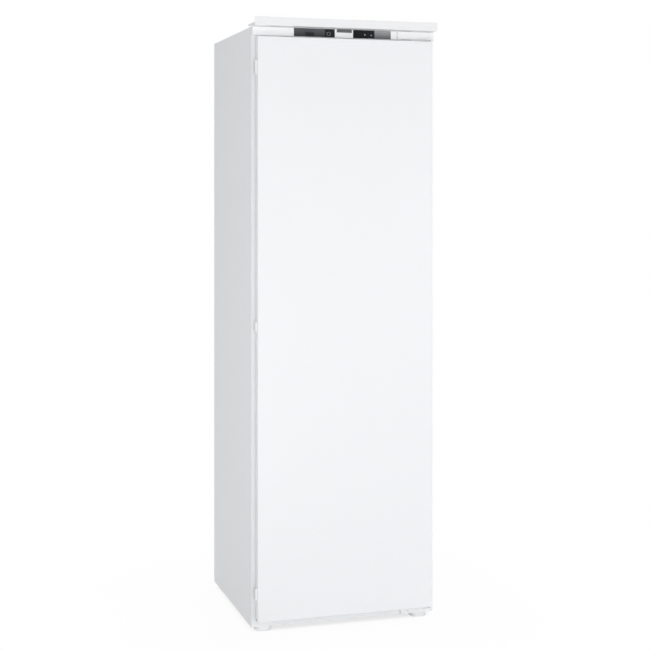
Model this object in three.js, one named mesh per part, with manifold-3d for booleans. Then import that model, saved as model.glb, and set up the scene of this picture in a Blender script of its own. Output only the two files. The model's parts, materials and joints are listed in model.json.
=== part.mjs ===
// A tall built-in freezer: a foamed steel cabinet, a flat door hung on two pins at the right with a
// magnetic gasket, seven drawers on moulded ribs, a cold side behind a duct cover, and a compressor
// bay low at the rear. Millimetres, +Z up, +X to the right of someone facing the door, which faces -Y.
// The origin is on the floor, in the middle of the whole footprint.

import * as THREE from 'three';
import { mergeVertices } from 'three/addons/utils/BufferGeometryUtils.js';
import Module from 'manifold-3d';

const wasm = await Module();
wasm.setup();

// Driving dimensions

const cabinetWidth = 556;
const cabinetDepth = 506;
const sideHeight = 1730;
const footHeight = 15;
const trimRise = 24;
const trimReach = 43;
const drawerCount = 7;

// Sheets, walls and clearances

const steelSheet = 1;
const linerWall = 2;
const seat = 0.3;
const overrun = 5;
const sideWall = 52;
const topWall = 65;
const floorWall = 55;
const rearWall = 58;
const recessDepth = 38;
const airZone = 60;
const bayHeight = 210;
const bayDepth = 212;
const bayRoofFoam = 65;
const bayFrontFoam = 52;
const sideLandSetback = 8;
const topLandSetback = 7;
const bottomLandSetback = 7;
const rearReturn = 12;
const cabinetCorner = 3;
const linerCorner = 12;

// Door and hinges

const doorInset = 11;
const doorFootGap = 20;
const doorTopGap = 30;
const doorStandOff = 8;
const doorThickness = 22;
const hingeInset = 12;
const hingeDepth = 12;
const hingePinRadius = 4;
const hingePinLength = 13;
const hingePlate = 3;
const hingeGap = 1.6;

// Places worked out from the driving dimensions

const halfWidth = cabinetWidth / 2;
const overallDepth = cabinetDepth + trimReach;
const backY = overallDepth / 2;
const frontY = backY - cabinetDepth;
const bottomZ = footHeight;
const topZ = bottomZ + sideHeight;
const innerHalf = halfWidth - sideWall;
const sideLand = sideWall - sideLandSetback;
const topLand = topWall - topLandSetback;
const bottomLand = floorWall - bottomLandSetback;
const cavityTop = topZ - topWall;
const cavityFloor = bottomZ + floorWall;
const rearPanelY = backY - recessDepth;
const linerRearY = rearPanelY - rearWall;
const ductY = linerRearY - airZone;
const bayTop = bottomZ + bayHeight;
const bayFrontY = backY - bayDepth;
const humpTop = bayTop + bayRoofFoam;
const humpFrontY = bayFrontY - bayFrontFoam;
const skinHalf = halfWidth - steelSheet - seat;
const doorHalf = halfWidth - doorInset;
const doorBottom = bottomZ + doorFootGap;
const doorTop = topZ - doorTopGap;
const doorRearY = ahead(doorStandOff);
const doorFrontY = ahead(doorStandOff + doorThickness);
const hingeX = doorHalf - hingeInset;
const hingeY = doorFrontY + hingeDepth;

// Smoothness of round forms

const cornerSteps = 3;
const bendSteps = 4;
const tubeSides = 6;
const pinSides = 16;
const turnedSides = 24;
const weldShare = 1e-4;

// Finishes

const whiteSteel = finish(0xeceef0, 0.42, 0);
const greySteel = finish(0xb9bdc0, 0.5, 0.6);
const zinc = finish(0xc4c8cb, 0.38, 0.9);
const whitePlastic = finish(0xf3f4f5, 0.45, 0);
const foam = finish(0xe6d9a8, 0.9, 0);
const clearPlastic = finish(0xdfe8ee, 0.2, 0);
const blackPlastic = finish(0x17181a, 0.3, 0);
const displayGlass = finish(0x3c4043, 0.12, 0);
const softRubber = finish(0xe9e9e6, 0.7, 0);
const blackSteel = finish(0x1b1c1e, 0.45, 0.3);
const copper = finish(0xb87348, 0.35, 1);
const aluminium = finish(0xc9ccce, 0.35, 1);
const boardGreen = finish(0x2f6b3c, 0.6, 0);
const trayGrey = finish(0x8d9092, 0.6, 0);

function finish(color, roughness, metalness) {
  return new THREE.MeshStandardMaterial({ color, roughness, metalness });
}

// Small helpers for places

function ahead(distance) {
  return frontY - distance;
}

function middle(low, high) {
  return (low + high) / 2;
}

function evenly(count, low, high) {
  return Array.from({ length: count }, (_, step) => low + (step / (count - 1)) * (high - low));
}

// Solids from three.js geometry

const perTriangle = 3;
const perPlace = 3;

function solidOf(geometry) {
  const bare = geometry.index ? geometry.toNonIndexed() : geometry.clone();
  bare.deleteAttribute('normal');
  bare.deleteAttribute('uv');
  const merged = mergeVertices(bare, weldShare);
  const corners = merged.index.array;
  const kept = [];
  for (let start = 0; start < corners.length; start += perTriangle) {
    const [a, b, c] = corners.slice(start, start + perTriangle);
    if (a !== b && b !== c && c !== a) {
      kept.push(a, b, c);
    }
  }
  const places = merged.attributes.position.array;
  const facing = signedVolume(places, kept) < 0 ? kept.reverse() : kept;
  return new wasm.Manifold(new wasm.Mesh({
    numProp: perPlace,
    vertProperties: Float32Array.from(places),
    triVerts: Uint32Array.from(facing),
  }));
}

function signedVolume(places, corners) {
  const [a, b, c] = [new THREE.Vector3(), new THREE.Vector3(), new THREE.Vector3()];
  let sum = 0;
  for (let start = 0; start < corners.length; start += perTriangle) {
    [a, b, c].forEach((place, corner) => place.fromArray(places, perPlace * corners[start + corner]));
    sum += a.dot(b.cross(c));
  }
  return sum;
}

function joined(solids) {
  return solids.reduce((sum, next) => sum.add(next));
}

function block([x0, x1], [y0, y1], [z0, z1]) {
  const box = new THREE.BoxGeometry(x1 - x0, y1 - y0, z1 - z0);
  box.translate(middle(x0, x1), middle(y0, y1), middle(z0, z1));
  return solidOf(box);
}

// A flat outline extruded along one axis. Along x the outline is drawn in (y, z), along y in (x, z)
// and along z in (x, y).

const unit = {
  x: new THREE.Vector3(1, 0, 0),
  y: new THREE.Vector3(0, 1, 0),
  z: new THREE.Vector3(0, 0, 1),
};
const outlineTurn = {
  x: new THREE.Matrix4().makeBasis(unit.y, unit.z, unit.x),
  y: new THREE.Matrix4().makeBasis(unit.x, unit.z, unit.y.clone().negate()),
  z: new THREE.Matrix4(),
};

function prism(shape, axis, from, to) {
  const options = { depth: to - from, bevelEnabled: false, curveSegments: cornerSteps };
  const body = new THREE.ExtrudeGeometry(shape, options);
  body.applyMatrix4(outlineTurn[axis]);
  const start = unit[axis].clone().multiplyScalar(axis === 'y' ? to : from);
  body.translate(start.x, start.y, start.z);
  return solidOf(body);
}

function outline(points) {
  return new THREE.Shape(points.map(([a, b]) => new THREE.Vector2(a, b)));
}

function roundedOutline(points, radius) {
  const corners = points.map(([a, b]) => new THREE.Vector2(a, b));
  const shape = new THREE.Shape();
  corners.forEach((corner, index) => {
    const before = corners[(index + corners.length - 1) % corners.length];
    const after = corners[(index + 1) % corners.length];
    const enter = before.clone().sub(corner).setLength(radius).add(corner);
    const leave = after.clone().sub(corner).setLength(radius).add(corner);
    if (index === 0) {
      shape.moveTo(enter.x, enter.y);
    } else {
      shape.lineTo(enter.x, enter.y);
    }
    shape.quadraticCurveTo(corner.x, corner.y, leave.x, leave.y);
  });
  return shape;
}

function rectangle([a0, a1], [b0, b1]) {
  return [[a0, b0], [a1, b0], [a1, b1], [a0, b1]];
}

function roundedSlab(axis, first, second, [from, to], radius) {
  return prism(roundedOutline(rectangle(first, second), radius), axis, from, to);
}

// A folded sheet: a line of bends, given its thickness to the left of the way the line runs

function foldedOutline(points, thickness) {
  const line = points.map(([a, b]) => new THREE.Vector2(a, b));
  const leftOf = (from, to) => {
    const along = to.clone().sub(from).normalize();
    return new THREE.Vector2(-along.y, along.x);
  };
  const offset = line.map((point, index) => {
    const before = index > 0 ? leftOf(line[index - 1], point) : null;
    const after = index + 1 < line.length ? leftOf(point, line[index + 1]) : null;
    if (!before || !after) {
      return point.clone().addScaledVector(before ?? after, thickness);
    }
    const mitre = before.clone().add(after);
    return point.clone().addScaledVector(mitre, (2 * thickness) / mitre.lengthSq());
  });
  return new THREE.Shape([...line, ...offset.reverse()]);
}

// A closed body through a row of rings with the same number of points

function loft(rings) {
  const count = rings[0].length;
  const last = (rings.length - 1) * count;
  const faces = [];
  for (let ring = 0; ring + 1 < rings.length; ring += 1) {
    for (let point = 0; point < count; point += 1) {
      const next = (point + 1) % count;
      const here = ring * count;
      const there = here + count;
      faces.push(here + point, here + next, there + next);
      faces.push(here + point, there + next, there + point);
    }
  }
  for (let point = 1; point + 1 < count; point += 1) {
    faces.push(0, point + 1, point);
    faces.push(last, last + point, last + point + 1);
  }
  const geometry = new THREE.BufferGeometry();
  const places = rings.flat().flatMap((place) => place.toArray());
  geometry.setAttribute('position', new THREE.Float32BufferAttribute(places, perPlace));
  geometry.setIndex(faces);
  return solidOf(geometry);
}

// A ring with round corners on a plane square to an axis, drawn as the outlines of prism are

function ringAt(axis, level, [a0, a1], [b0, b1], radius) {
  const centres = [[a1 - radius, b0 + radius], [a1 - radius, b1 - radius],
    [a0 + radius, b1 - radius], [a0 + radius, b0 + radius]];
  return centres.flatMap(([a, b], corner) => Array.from({ length: cornerSteps + 1 }, (_, step) => {
    const angle = ((corner - 1 + step / cornerSteps) * Math.PI) / 2;
    const first = a + radius * Math.cos(angle);
    const second = b + radius * Math.sin(angle);
    return axis === 'z'
      ? new THREE.Vector3(first, second, level)
      : new THREE.Vector3(first, level, second);
  }));
}

// A turned body: a profile of [radius, height] pairs about a line along one axis

function turnedBody(profile, axis, [x, y, z], sides = turnedSides) {
  const points = profile.map(([radius, height]) => new THREE.Vector2(radius, height));
  const body = new THREE.LatheGeometry(points, sides);
  if (axis === 'z') {
    body.rotateX(Math.PI / 2);
  }
  if (axis === 'x') {
    body.rotateZ(-Math.PI / 2);
  }
  body.translate(x, y, z);
  return solidOf(body);
}

function rod(radius, axis, [from, to], centre, sides = pinSides) {
  return turnedBody([[0, from], [radius, from], [radius, to], [0, to]], axis, centre, sides);
}

// A round tube along a line of corners, each corner an arc of the bend radius. The directions are
// rounded, so that the section keeps its turn about the tube at any scale.

class StationPath extends THREE.Curve {
  constructor(stations) {
    super();
    this.stations = stations;
  }

  getPointAt(share, target = new THREE.Vector3()) {
    return target.copy(this.stations[Math.round(share * (this.stations.length - 1))]);
  }

  getTangentAt(share, target = new THREE.Vector3()) {
    const index = Math.round(share * (this.stations.length - 1));
    const before = this.stations[Math.max(index - 1, 0)];
    const after = this.stations[Math.min(index + 1, this.stations.length - 1)];
    target.copy(after).sub(before).normalize();
    return target.divideScalar(weldShare).round().multiplyScalar(weldShare);
  }
}

function bentStations(corners, bend) {
  const places = corners.map((place) => new THREE.Vector3(...place));
  const stations = [places[0]];
  places.slice(1, -1).forEach((corner, index) => {
    const back = places[index].clone().sub(corner).normalize();
    const onward = places[index + 2].clone().sub(corner).normalize();
    const half = back.angleTo(onward) / 2;
    const centre = back.clone().add(onward).setLength(bend / Math.sin(half)).add(corner);
    const first = corner.clone().addScaledVector(back, bend / Math.tan(half)).sub(centre);
    const final = corner.clone().addScaledVector(onward, bend / Math.tan(half)).sub(centre);
    const sweep = Math.PI - 2 * half;
    for (let step = 0; step <= bendSteps; step += 1) {
      const turned = (step / bendSteps) * sweep;
      stations.push(centre.clone()
        .addScaledVector(first, Math.sin(sweep - turned) / Math.sin(sweep))
        .addScaledVector(final, Math.sin(turned) / Math.sin(sweep)));
    }
  });
  stations.push(places.at(-1));
  return stations;
}

function tube(corners, radius, bend) {
  const stations = bentStations(corners, bend);
  const section = new THREE.Shape(Array.from({ length: tubeSides }, (_, side) => {
    const angle = ((side + 1 / 2) * 2 * Math.PI) / tubeSides;
    return new THREE.Vector2(radius * Math.cos(angle), radius * Math.sin(angle));
  }));
  return solidOf(new THREE.ExtrudeGeometry(section, {
    steps: stations.length - 1,
    extrudePath: new StationPath(stations),
    bevelEnabled: false,
  }));
}

// The groups that move together

const freezer = new THREE.Group();
const cabinetGroup = new THREE.Group();
const doorGroup = new THREE.Group();
const fanGroup = new THREE.Group();
const keyGroup = new THREE.Group();
freezer.add(cabinetGroup, doorGroup, fanGroup, keyGroup);

function addPiece(group, name, solid, material) {
  const { vertProperties, triVerts } = solid.getMesh();
  const geometry = new THREE.BufferGeometry();
  geometry.setAttribute('position', new THREE.BufferAttribute(vertProperties, perPlace));
  geometry.setIndex(new THREE.BufferAttribute(triVerts, 1));
  geometry.computeVertexNormals();
  const mesh = new THREE.Mesh(geometry, material);
  mesh.name = name;
  group.add(mesh);
}

// Outer cabinet: one wrapped sheet for both sides and the top, with a land for the gasket folded in
// at the front and a narrow return at the rear

function wrapOutline() {
  const shape = new THREE.Shape();
  shape.moveTo(-halfWidth, bottomZ);
  shape.lineTo(halfWidth, bottomZ);
  shape.lineTo(halfWidth, topZ - cabinetCorner);
  shape.quadraticCurveTo(halfWidth, topZ, halfWidth - cabinetCorner, topZ);
  shape.lineTo(-halfWidth + cabinetCorner, topZ);
  shape.quadraticCurveTo(-halfWidth, topZ, -halfWidth, topZ - cabinetCorner);
  return shape;
}

function archCut([y0, y1], sideWidth, topWidth) {
  const half = halfWidth - sideWidth;
  return block([-half, half], [y0, y1], [bottomZ - overrun, topZ - topWidth]);
}

function outerCabinet() {
  const shellEnds = [frontY + steelSheet, backY - steelSheet];
  return prism(wrapOutline(), 'y', frontY, backY)
    .subtract(archCut(shellEnds, steelSheet, steelSheet))
    .subtract(archCut([frontY - overrun, frontY + overrun], sideLand, topLand))
    .subtract(archCut([backY - overrun, backY + overrun], rearReturn, rearReturn));
}

// Side view of the food space, with the step over the compressor bay. Growth moves every wall out.

const linerRimSide = 16;
const linerRimTop = 14;
const linerRimFloor = 6;
const compressorSideGap = 183;
const compressorRadius = 80;
const compressorX = halfWidth - compressorSideGap;
const drainOffset = 35;
const drainRadius = 8;
const drainWall = 2;
const drainX = compressorX - drainOffset;
const suctionGap = 25;
const suctionRadius = 4;
const suctionX = compressorX - compressorRadius - suctionGap;
const coilSetback = 25.5;
const coilY = linerRearY - coilSetback;

function cavityOutline(growth, front) {
  return roundedOutline([
    [front, cavityFloor - growth],
    [humpFrontY + growth, cavityFloor - growth],
    [humpFrontY + growth, humpTop - growth],
    [linerRearY + growth, humpTop - growth],
    [linerRearY + growth, cavityTop + growth],
    [front, cavityTop + growth],
  ], linerCorner);
}

function cavityBlock(growth, front) {
  const half = innerHalf + growth;
  return prism(cavityOutline(growth, front), 'x', -half, half);
}

function linerRim(growth) {
  const half = innerHalf + linerRimSide + growth;
  const rimFront = frontY + steelSheet + seat;
  return block(
    [-half, half],
    [rimFront - growth, rimFront + linerWall + growth],
    [cavityFloor - linerRimFloor - growth, cavityTop + linerRimTop + growth],
  );
}

function drainHole(radius) {
  return rod(radius, 'z', [bottomZ, humpTop + overrun], [drainX, coilY, 0]);
}

function suctionHole(radius) {
  return rod(radius, 'z', [bayTop - overrun, humpTop + overrun], [suctionX, coilY, 0]);
}

// Inner liner: one thermoformed shell with a rim at the front, runner ribs for the drawers, and
// holes for the drain and the suction pipe

const ribReach = 10;
const ribHeight = 8;
const ribNose = 2;
const ribFrontGap = 50;
const ribRearGap = 4;
const humpClearance = 10;
const tubHeadroom = 36;
const tubFloorGap = 8;
const rimThickness = 3;

const upperDrawersLow = humpTop + humpClearance;
const drawerPitch = (cavityTop - upperDrawersLow) / (drawerCount - 1);

function drawerHigh(index) {
  return upperDrawersLow + index * drawerPitch;
}

function drawerLow(index) {
  return index === 0 ? cavityFloor : drawerHigh(index - 1);
}

function tubTop(index) {
  return drawerHigh(index) - tubHeadroom;
}

function runnerTop(index) {
  return tubTop(index) - rimThickness - seat;
}

function runnerRib(side, index) {
  const wall = side * (innerHalf + linerWall / 2);
  const nose = side * (innerHalf - ribReach);
  const top = runnerTop(index);
  const rear = (index === 0 ? humpFrontY : ductY) - ribRearGap;
  const shape = outline([
    [wall, top],
    [nose, top],
    [nose, top - ribNose],
    [wall, top - ribHeight],
  ]);
  return prism(shape, 'y', frontY + ribFrontGap, rear);
}

function innerLiner() {
  const front = frontY + steelSheet + seat;
  const bent = front - linerCorner;
  const shell = cavityBlock(linerWall, bent).add(linerRim(0));
  const mouth = block(
    [-halfWidth, halfWidth],
    [bent - overrun, front],
    [0, topZ],
  );
  const ribs = [-1, 1].flatMap((side) => Array.from(
    { length: drawerCount },
    (_, index) => runnerRib(side, index),
  ));
  return joined([shell.subtract(cavityBlock(0, bent - linerCorner)).subtract(mouth), ...ribs])
    .subtract(drainHole(drainRadius + seat))
    .subtract(suctionHole(suctionRadius + seat));
}

// Foamed insulation between the outer cabinet, the liner, the rear panel and the bay

function cabinetInsulation() {
  const front = frontY + 2 * (steelSheet + seat);
  const rear = rearPanelY - steelSheet - seat;
  const inset = steelSheet + seat;
  const full = block([-skinHalf, skinHalf], [front, rear], [bottomZ + inset, topZ - inset]);
  const bay = block(
    [-halfWidth, halfWidth],
    [bayFrontY - inset, backY],
    [0, bayTop + inset],
  );
  return full
    .subtract(bay)
    .subtract(cavityBlock(linerWall + seat, frontY - linerCorner))
    .subtract(linerRim(seat))
    .subtract(drainHole(drainRadius + seat))
    .subtract(suctionHole(suctionRadius + seat));
}

// Bottom panel: one folded sheet with the front upstand, the floor, the bay's front wall and its roof

function bottomPanel() {
  const front = frontY + steelSheet + seat;
  const rear = rearPanelY - steelSheet - seat;
  const shape = foldedOutline([
    [rear, bayTop],
    [bayFrontY, bayTop],
    [bayFrontY, bottomZ],
    [front, bottomZ],
    [front, bottomZ + bottomLand],
  ], -steelSheet);
  return prism(shape, 'x', -skinHalf, skinHalf)
    .subtract(drainHole(drainRadius + seat))
    .subtract(suctionHole(suctionRadius + seat));
}

// Rear panel: a sheet with four pressed beads from top to bottom

const beadCount = 4;
const beadHeight = 3;
const beadFoot = 22;
const beadCrown = 14;
const beadSideGap = 98;
const rearPanelLap = 10;

function rearPanel() {
  const foot = rearPanelY;
  const crown = rearPanelY + beadHeight;
  const points = [[-skinHalf, foot]];
  evenly(beadCount, beadSideGap - halfWidth, halfWidth - beadSideGap).forEach((x) => {
    points.push([x - beadFoot, foot], [x - beadCrown, crown], [x + beadCrown, crown]);
    points.push([x + beadFoot, foot]);
  });
  points.push([skinHalf, foot]);
  const shape = foldedOutline(points, -steelSheet);
  return prism(shape, 'z', bayTop - rearPanelLap, topZ - steelSheet - seat);
}

addPiece(cabinetGroup, 'outer_cabinet', outerCabinet(), whiteSteel);
addPiece(cabinetGroup, 'cabinet_insulation', cabinetInsulation(), foam);
addPiece(cabinetGroup, 'bottom_panel', bottomPanel(), whiteSteel);
addPiece(cabinetGroup, 'rear_panel', rearPanel(), greySteel);

// Drawers: a tapered tub whose rims ride on the ribs, and a front with a curled grip

const plugReach = 25;
const gripClearance = 6;
const gripReach = 11;
const gripDrop = 16;
const gripHalf = 110;
const gripWall = 3;
const gripBelowTop = 8;
const frontWall = 3;
const frontSideGap = 4;
const frontEdgeGap = 5;
const frontCorner = 12;
const frontDish = 1.5;
const frontDishInset = 16;
const tubWall = 2.5;
const tubCorner = 16;
const tubTopGap = 14;
const tubTaper = 7;
const tubRearGap = 7;
const rimSideGap = 4;

const gripFrontY = frontY + plugReach + gripClearance;
const panelFrontY = gripFrontY + gripReach + gripWall;
const tubFrontY = panelFrontY + frontWall + seat;

function drawerTub(index) {
  const low = drawerLow(index) + tubFloorGap;
  const high = tubTop(index);
  const rear = (index === 0 ? humpFrontY : ductY) - tubRearGap;
  const half = innerHalf - tubTopGap;
  const wide = [-half, half];
  const narrow = [tubTaper - half, half - tubTaper];
  const shrunk = ([a, b], amount) => [a + amount, b - amount];
  const long = [tubFrontY, rear];
  const short = [tubFrontY, rear - tubTaper];
  const outside = loft([
    ringAt('z', low, narrow, short, tubCorner),
    ringAt('z', high, wide, long, tubCorner),
  ]);
  const inside = loft([
    ringAt('z', low + tubWall, shrunk(narrow, tubWall), shrunk(short, tubWall), tubCorner - tubWall),
    ringAt('z', high + tubWall, shrunk(wide, tubWall), shrunk(long, tubWall), tubCorner - tubWall),
  ]);
  const rimHalf = innerHalf - rimSideGap;
  const rim = roundedSlab('z', [-rimHalf, rimHalf], long, [high - rimThickness, high], tubCorner);
  return outside.add(rim).subtract(inside);
}

function drawerFront(index) {
  const low = drawerLow(index) + frontEdgeGap;
  const high = drawerHigh(index) - frontEdgeGap;
  const half = innerHalf - frontSideGap;
  const wide = [-half, half];
  const tall = [low, high];
  const inset = ([a, b], amount) => [a + amount, b - amount];
  const panel = roundedSlab('y', wide, tall, [panelFrontY, panelFrontY + frontWall], frontCorner);
  const dishRing = (y, amount) => ringAt(
    'y',
    y,
    inset(wide, frontDishInset + amount),
    inset(tall, frontDishInset + gripDrop + amount),
    frontCorner,
  );
  const dish = loft([dishRing(panelFrontY - overrun, 0), dishRing(panelFrontY + frontDish, overrun)]);
  const root = high - gripBelowTop;
  const line = [[panelFrontY + frontWall / 2, root], [panelFrontY - gripReach / 2, root]];
  for (let step = 1; step <= bendSteps; step += 1) {
    const angle = (step / bendSteps) * (Math.PI / 2);
    line.push([
      panelFrontY - (gripReach / 2) * (1 + Math.sin(angle)),
      root - (gripReach / 2) * (1 - Math.cos(angle)),
    ]);
  }
  line.push([panelFrontY - gripReach, root - gripDrop]);
  const grip = prism(foldedOutline(line, -gripWall), 'x', -gripHalf, gripHalf);
  return panel.subtract(dish).add(grip);
}

addPiece(cabinetGroup, 'inner_liner', innerLiner(), whitePlastic);
for (let index = 0; index < drawerCount; index += 1) {
  addPiece(cabinetGroup, `drawer_tub_${index + 1}`, drawerTub(index), whitePlastic);
  addPiece(cabinetGroup, `drawer_front_${index + 1}`, drawerFront(index), clearPlastic);
}

// Cold side behind the duct cover: finned coil, defrost heater, fan motor and fan

const ductWall = 2.5;
const coilSideGap = 46;
const coilPassCount = 4;
const coilPitch = 44;
const coilRadius = 4;
const coilBend = 14;
const coilStub = 26;
const finCount = 8;
const finThickness = 1.2;
const finFront = 25;
const finMargin = 16;
const heaterRadius = 4;
const heaterBend = 9;
const heaterEndGap = 16;
const heaterPitch = 20;
const fanRise = 350;
const fanRadius = 52;
const hubRadius = 17;
const hubDepth = 20;
const fanGap = 9;
const shaftRadius = 2;
const shaftLength = 5;
const motorRadius = 26;
const motorLugRadius = 34;
const motorLug = 4;

const coilHalf = innerHalf - coilSideGap;
const fanZ = humpTop + fanRise;
const heaterLow = humpTop + seat + heaterRadius;
const heaterZ = heaterLow + heaterPitch;
const finLow = heaterZ + heaterRadius + seat;
const coilLow = finLow + finMargin;
const coilHigh = coilLow + (coilPassCount - 1) * coilPitch;
const finHigh = coilHigh + finMargin;

function evaporator() {
  const corners = [[suctionX, coilY, finLow - coilStub / 2], [suctionX, coilY, coilLow]];
  for (let pass = 0; pass < coilPassCount; pass += 1) {
    const z = coilLow + pass * coilPitch;
    const end = pass % 2 === 0 ? coilHalf + coilBend : -coilHalf - coilBend;
    corners.push([end, coilY, z]);
    if (pass + 1 < coilPassCount) {
      corners.push([end, coilY, z + coilPitch]);
    }
  }
  const pipe = tube(corners, coilRadius, coilBend);
  const fins = evenly(finCount, -coilHalf, coilHalf).map((x) => block(
    [x - finThickness / 2, x + finThickness / 2],
    [coilY - finFront, linerRearY - seat],
    [finLow, finHigh],
  ));
  return joined([pipe, ...fins]);
}

function defrostHeater() {
  const open = suctionX - coilStub;
  const closed = heaterEndGap - coilHalf;
  return tube([
    [open, coilY, heaterLow],
    [closed, coilY, heaterLow],
    [closed, coilY, heaterZ],
    [open, coilY, heaterZ],
  ], heaterRadius, heaterBend);
}

const outletRowCount = drawerCount - 1;
const outletColumnCount = 4;
const outletWidth = 62;
const outletHeight = 8;
const outletSideGap = 76;
const outletRise = 16;
const grilleInner = 20;
const grilleOuter = 50;
const grilleSlotCount = 12;
const grilleSlotWidth = 9;

function ductCover() {
  const half = innerHalf - seat;
  const rear = linerRearY - linerCorner;
  const shape = foldedOutline([
    [-half, rear],
    [-half, ductY],
    [half, ductY],
    [half, rear],
  ], ductWall);
  const low = humpTop + seat;
  const high = cavityTop - seat;
  const through = [ductY - overrun, ductY + ductWall + overrun];
  const slots = [];
  for (let row = 1; row <= outletRowCount; row += 1) {
    const z = runnerTop(row) + outletRise;
    const across = innerHalf - outletSideGap;
    evenly(outletColumnCount, -across, across).forEach((x) => {
      slots.push(block([x - outletWidth / 2, x + outletWidth / 2], through, [z, z + outletHeight]));
    });
  }
  for (let spoke = 0; spoke < grilleSlotCount; spoke += 1) {
    const slot = new THREE.BoxGeometry(grilleSlotWidth, through[1] - through[0], grilleOuter - grilleInner);
    slot.translate(0, 0, middle(grilleInner, grilleOuter));
    slot.rotateY((spoke / grilleSlotCount) * 2 * Math.PI);
    slot.translate(0, middle(through[0], through[1]), fanZ);
    slots.push(solidOf(slot));
  }
  return slots.reduce((cover, slot) => cover.subtract(slot), prism(shape, 'z', low, high));
}

const fanFrontY = ductY + ductWall + fanGap;
const motorFrontY = fanFrontY + hubDepth + shaftLength;
const motorEdge = 3;

function fanMotor() {
  const rear = linerRearY - seat;
  return turnedBody([
    [0, motorFrontY + seat],
    [motorRadius - motorEdge, motorFrontY + seat],
    [motorRadius, motorFrontY + seat + motorEdge],
    [motorRadius, rear - motorLug],
    [motorLugRadius, rear - motorLug],
    [motorLugRadius, rear],
    [0, rear],
  ], 'y', [0, 0, fanZ]);
}

// Fan: a turned hub and twisted blades, each lofted from a steep root to a flatter tip

const bladeCount = 5;
const bladeRingCount = 5;
const bladeRootChord = 20;
const bladeTipChord = 34;
const bladeThickness = 1.6;
const bladeSink = 3;
const rootPitchShare = 0.23;
const tipPitchShare = 0.13;

function fanBlade(turn) {
  const rings = Array.from({ length: bladeRingCount }, (_, step) => {
    const share = step / (bladeRingCount - 1);
    const radius = THREE.MathUtils.lerp(hubRadius - bladeSink, fanRadius, share);
    const chord = THREE.MathUtils.lerp(bladeRootChord, bladeTipChord, share) / 2;
    const pitch = THREE.MathUtils.lerp(rootPitchShare, tipPitchShare, share) * Math.PI;
    const corners = [[-chord, 0], [0, -bladeThickness / 2], [chord, 0], [0, bladeThickness / 2]];
    return corners.map(([along, off]) => {
      const sideways = along * Math.cos(pitch) - off * Math.sin(pitch);
      const inward = along * Math.sin(pitch) + off * Math.cos(pitch);
      const angle = turn + sideways / radius;
      return new THREE.Vector3(
        radius * Math.cos(angle),
        middle(fanFrontY, fanFrontY + hubDepth) + inward,
        fanZ + radius * Math.sin(angle),
      );
    });
  });
  return loft(rings);
}

function fanImpeller() {
  const rear = fanFrontY + hubDepth;
  const hub = turnedBody([
    [0, fanFrontY],
    [hubRadius - motorEdge, fanFrontY],
    [hubRadius, fanFrontY + motorEdge],
    [hubRadius, rear],
    [shaftRadius, rear],
    [shaftRadius, motorFrontY],
    [0, motorFrontY],
  ], 'y', [0, 0, fanZ]);
  const blades = Array.from(
    { length: bladeCount },
    (_, blade) => fanBlade((blade / bladeCount) * 2 * Math.PI),
  );
  return joined([hub, ...blades]);
}

addPiece(cabinetGroup, 'evaporator', evaporator(), aluminium);
addPiece(cabinetGroup, 'defrost_heater', defrostHeater(), zinc);
addPiece(cabinetGroup, 'duct_cover', ductCover(), whitePlastic);
addPiece(cabinetGroup, 'fan_motor', fanMotor(), blackSteel);
addPiece(fanGroup, 'fan_impeller', fanImpeller(), blackPlastic);

// Compressor bay: tray, compressor with its relay box, drip tray, drain and pipes

const trayLip = 12;
const compressorNeck = 60;
const compressorDome = 36;
const compressorLow = 28;
const compressorHeight = 145;
const seamReach = 3;
const seamHalf = 5;
const footRadius = 12;
const footSpanX = 150;
const footSpanY = 110;
const footPlate = 3;
const footPlateRise = 8;

function basePlate() {
  const shape = foldedOutline([
    [backY - steelSheet - seat, bottomZ + trayLip],
    [backY - steelSheet - seat, bottomZ],
    [bayFrontY + seat, bottomZ],
    [bayFrontY + seat, bottomZ + trayLip],
  ], -steelSheet);
  return prism(shape, 'x', -skinHalf, skinHalf);
}

const trayTopZ = bottomZ + steelSheet;
const compressorTop = bottomZ + compressorLow + compressorHeight;

function compressorShell(growth) {
  const low = bottomZ + compressorLow;
  const seamZ = low + compressorHeight / 2;
  return turnedBody([
    [0, low - growth],
    [compressorNeck, low - growth],
    [compressorRadius + growth, low + compressorDome / 2],
    [compressorRadius + growth, seamZ - seamHalf],
    [compressorRadius + seamReach + growth, seamZ],
    [compressorRadius + growth, seamZ + seamHalf],
    [compressorRadius + growth, compressorTop - compressorDome],
    [compressorNeck + growth, compressorTop - compressorDome / 3],
    [compressorDome, compressorTop + growth],
    [0, compressorTop + growth],
  ], 'z', [compressorX, coilY, 0]);
}

function compressor() {
  const plateLow = trayTopZ + seat + footPlateRise;
  const spanX = [compressorX - footSpanX / 2, compressorX + footSpanX / 2];
  const spanY = [coilY - footSpanY / 2, coilY + footSpanY / 2];
  const plate = roundedSlab(
    'z',
    [spanX[0] - footRadius, spanX[1] + footRadius],
    [spanY[0] - footRadius, spanY[1] + footRadius],
    [plateLow, bottomZ + compressorLow + footPlate],
    footRadius,
  );
  const feet = spanX.flatMap((x) => spanY.map((y) => rod(
    footRadius - footPlate,
    'z',
    [trayTopZ + seat, plateLow + footPlate],
    [x, y, 0],
  )));
  return joined([compressorShell(0), plate, ...feet]);
}

const relaySize = { x: 50, y: 62, z: 66 };
const relayRise = 22;
const relayCorner = 6;

function startRelayCover() {
  const right = compressorX - compressorNeck;
  const low = bottomZ + compressorLow + relayRise;
  const wide = [right - relaySize.x, right];
  const deep = [coilY - relaySize.y / 2, coilY + relaySize.y / 2];
  return roundedSlab('x', deep, [low, low + relaySize.z], wide, relayCorner)
    .subtract(compressorShell(seat));
}

const dripLength = 150;
const dripWidth = 120;
const dripHeight = 24;
const dripWall = 1.6;
const dripTaper = 5;
const dripCorner = 12;

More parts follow.
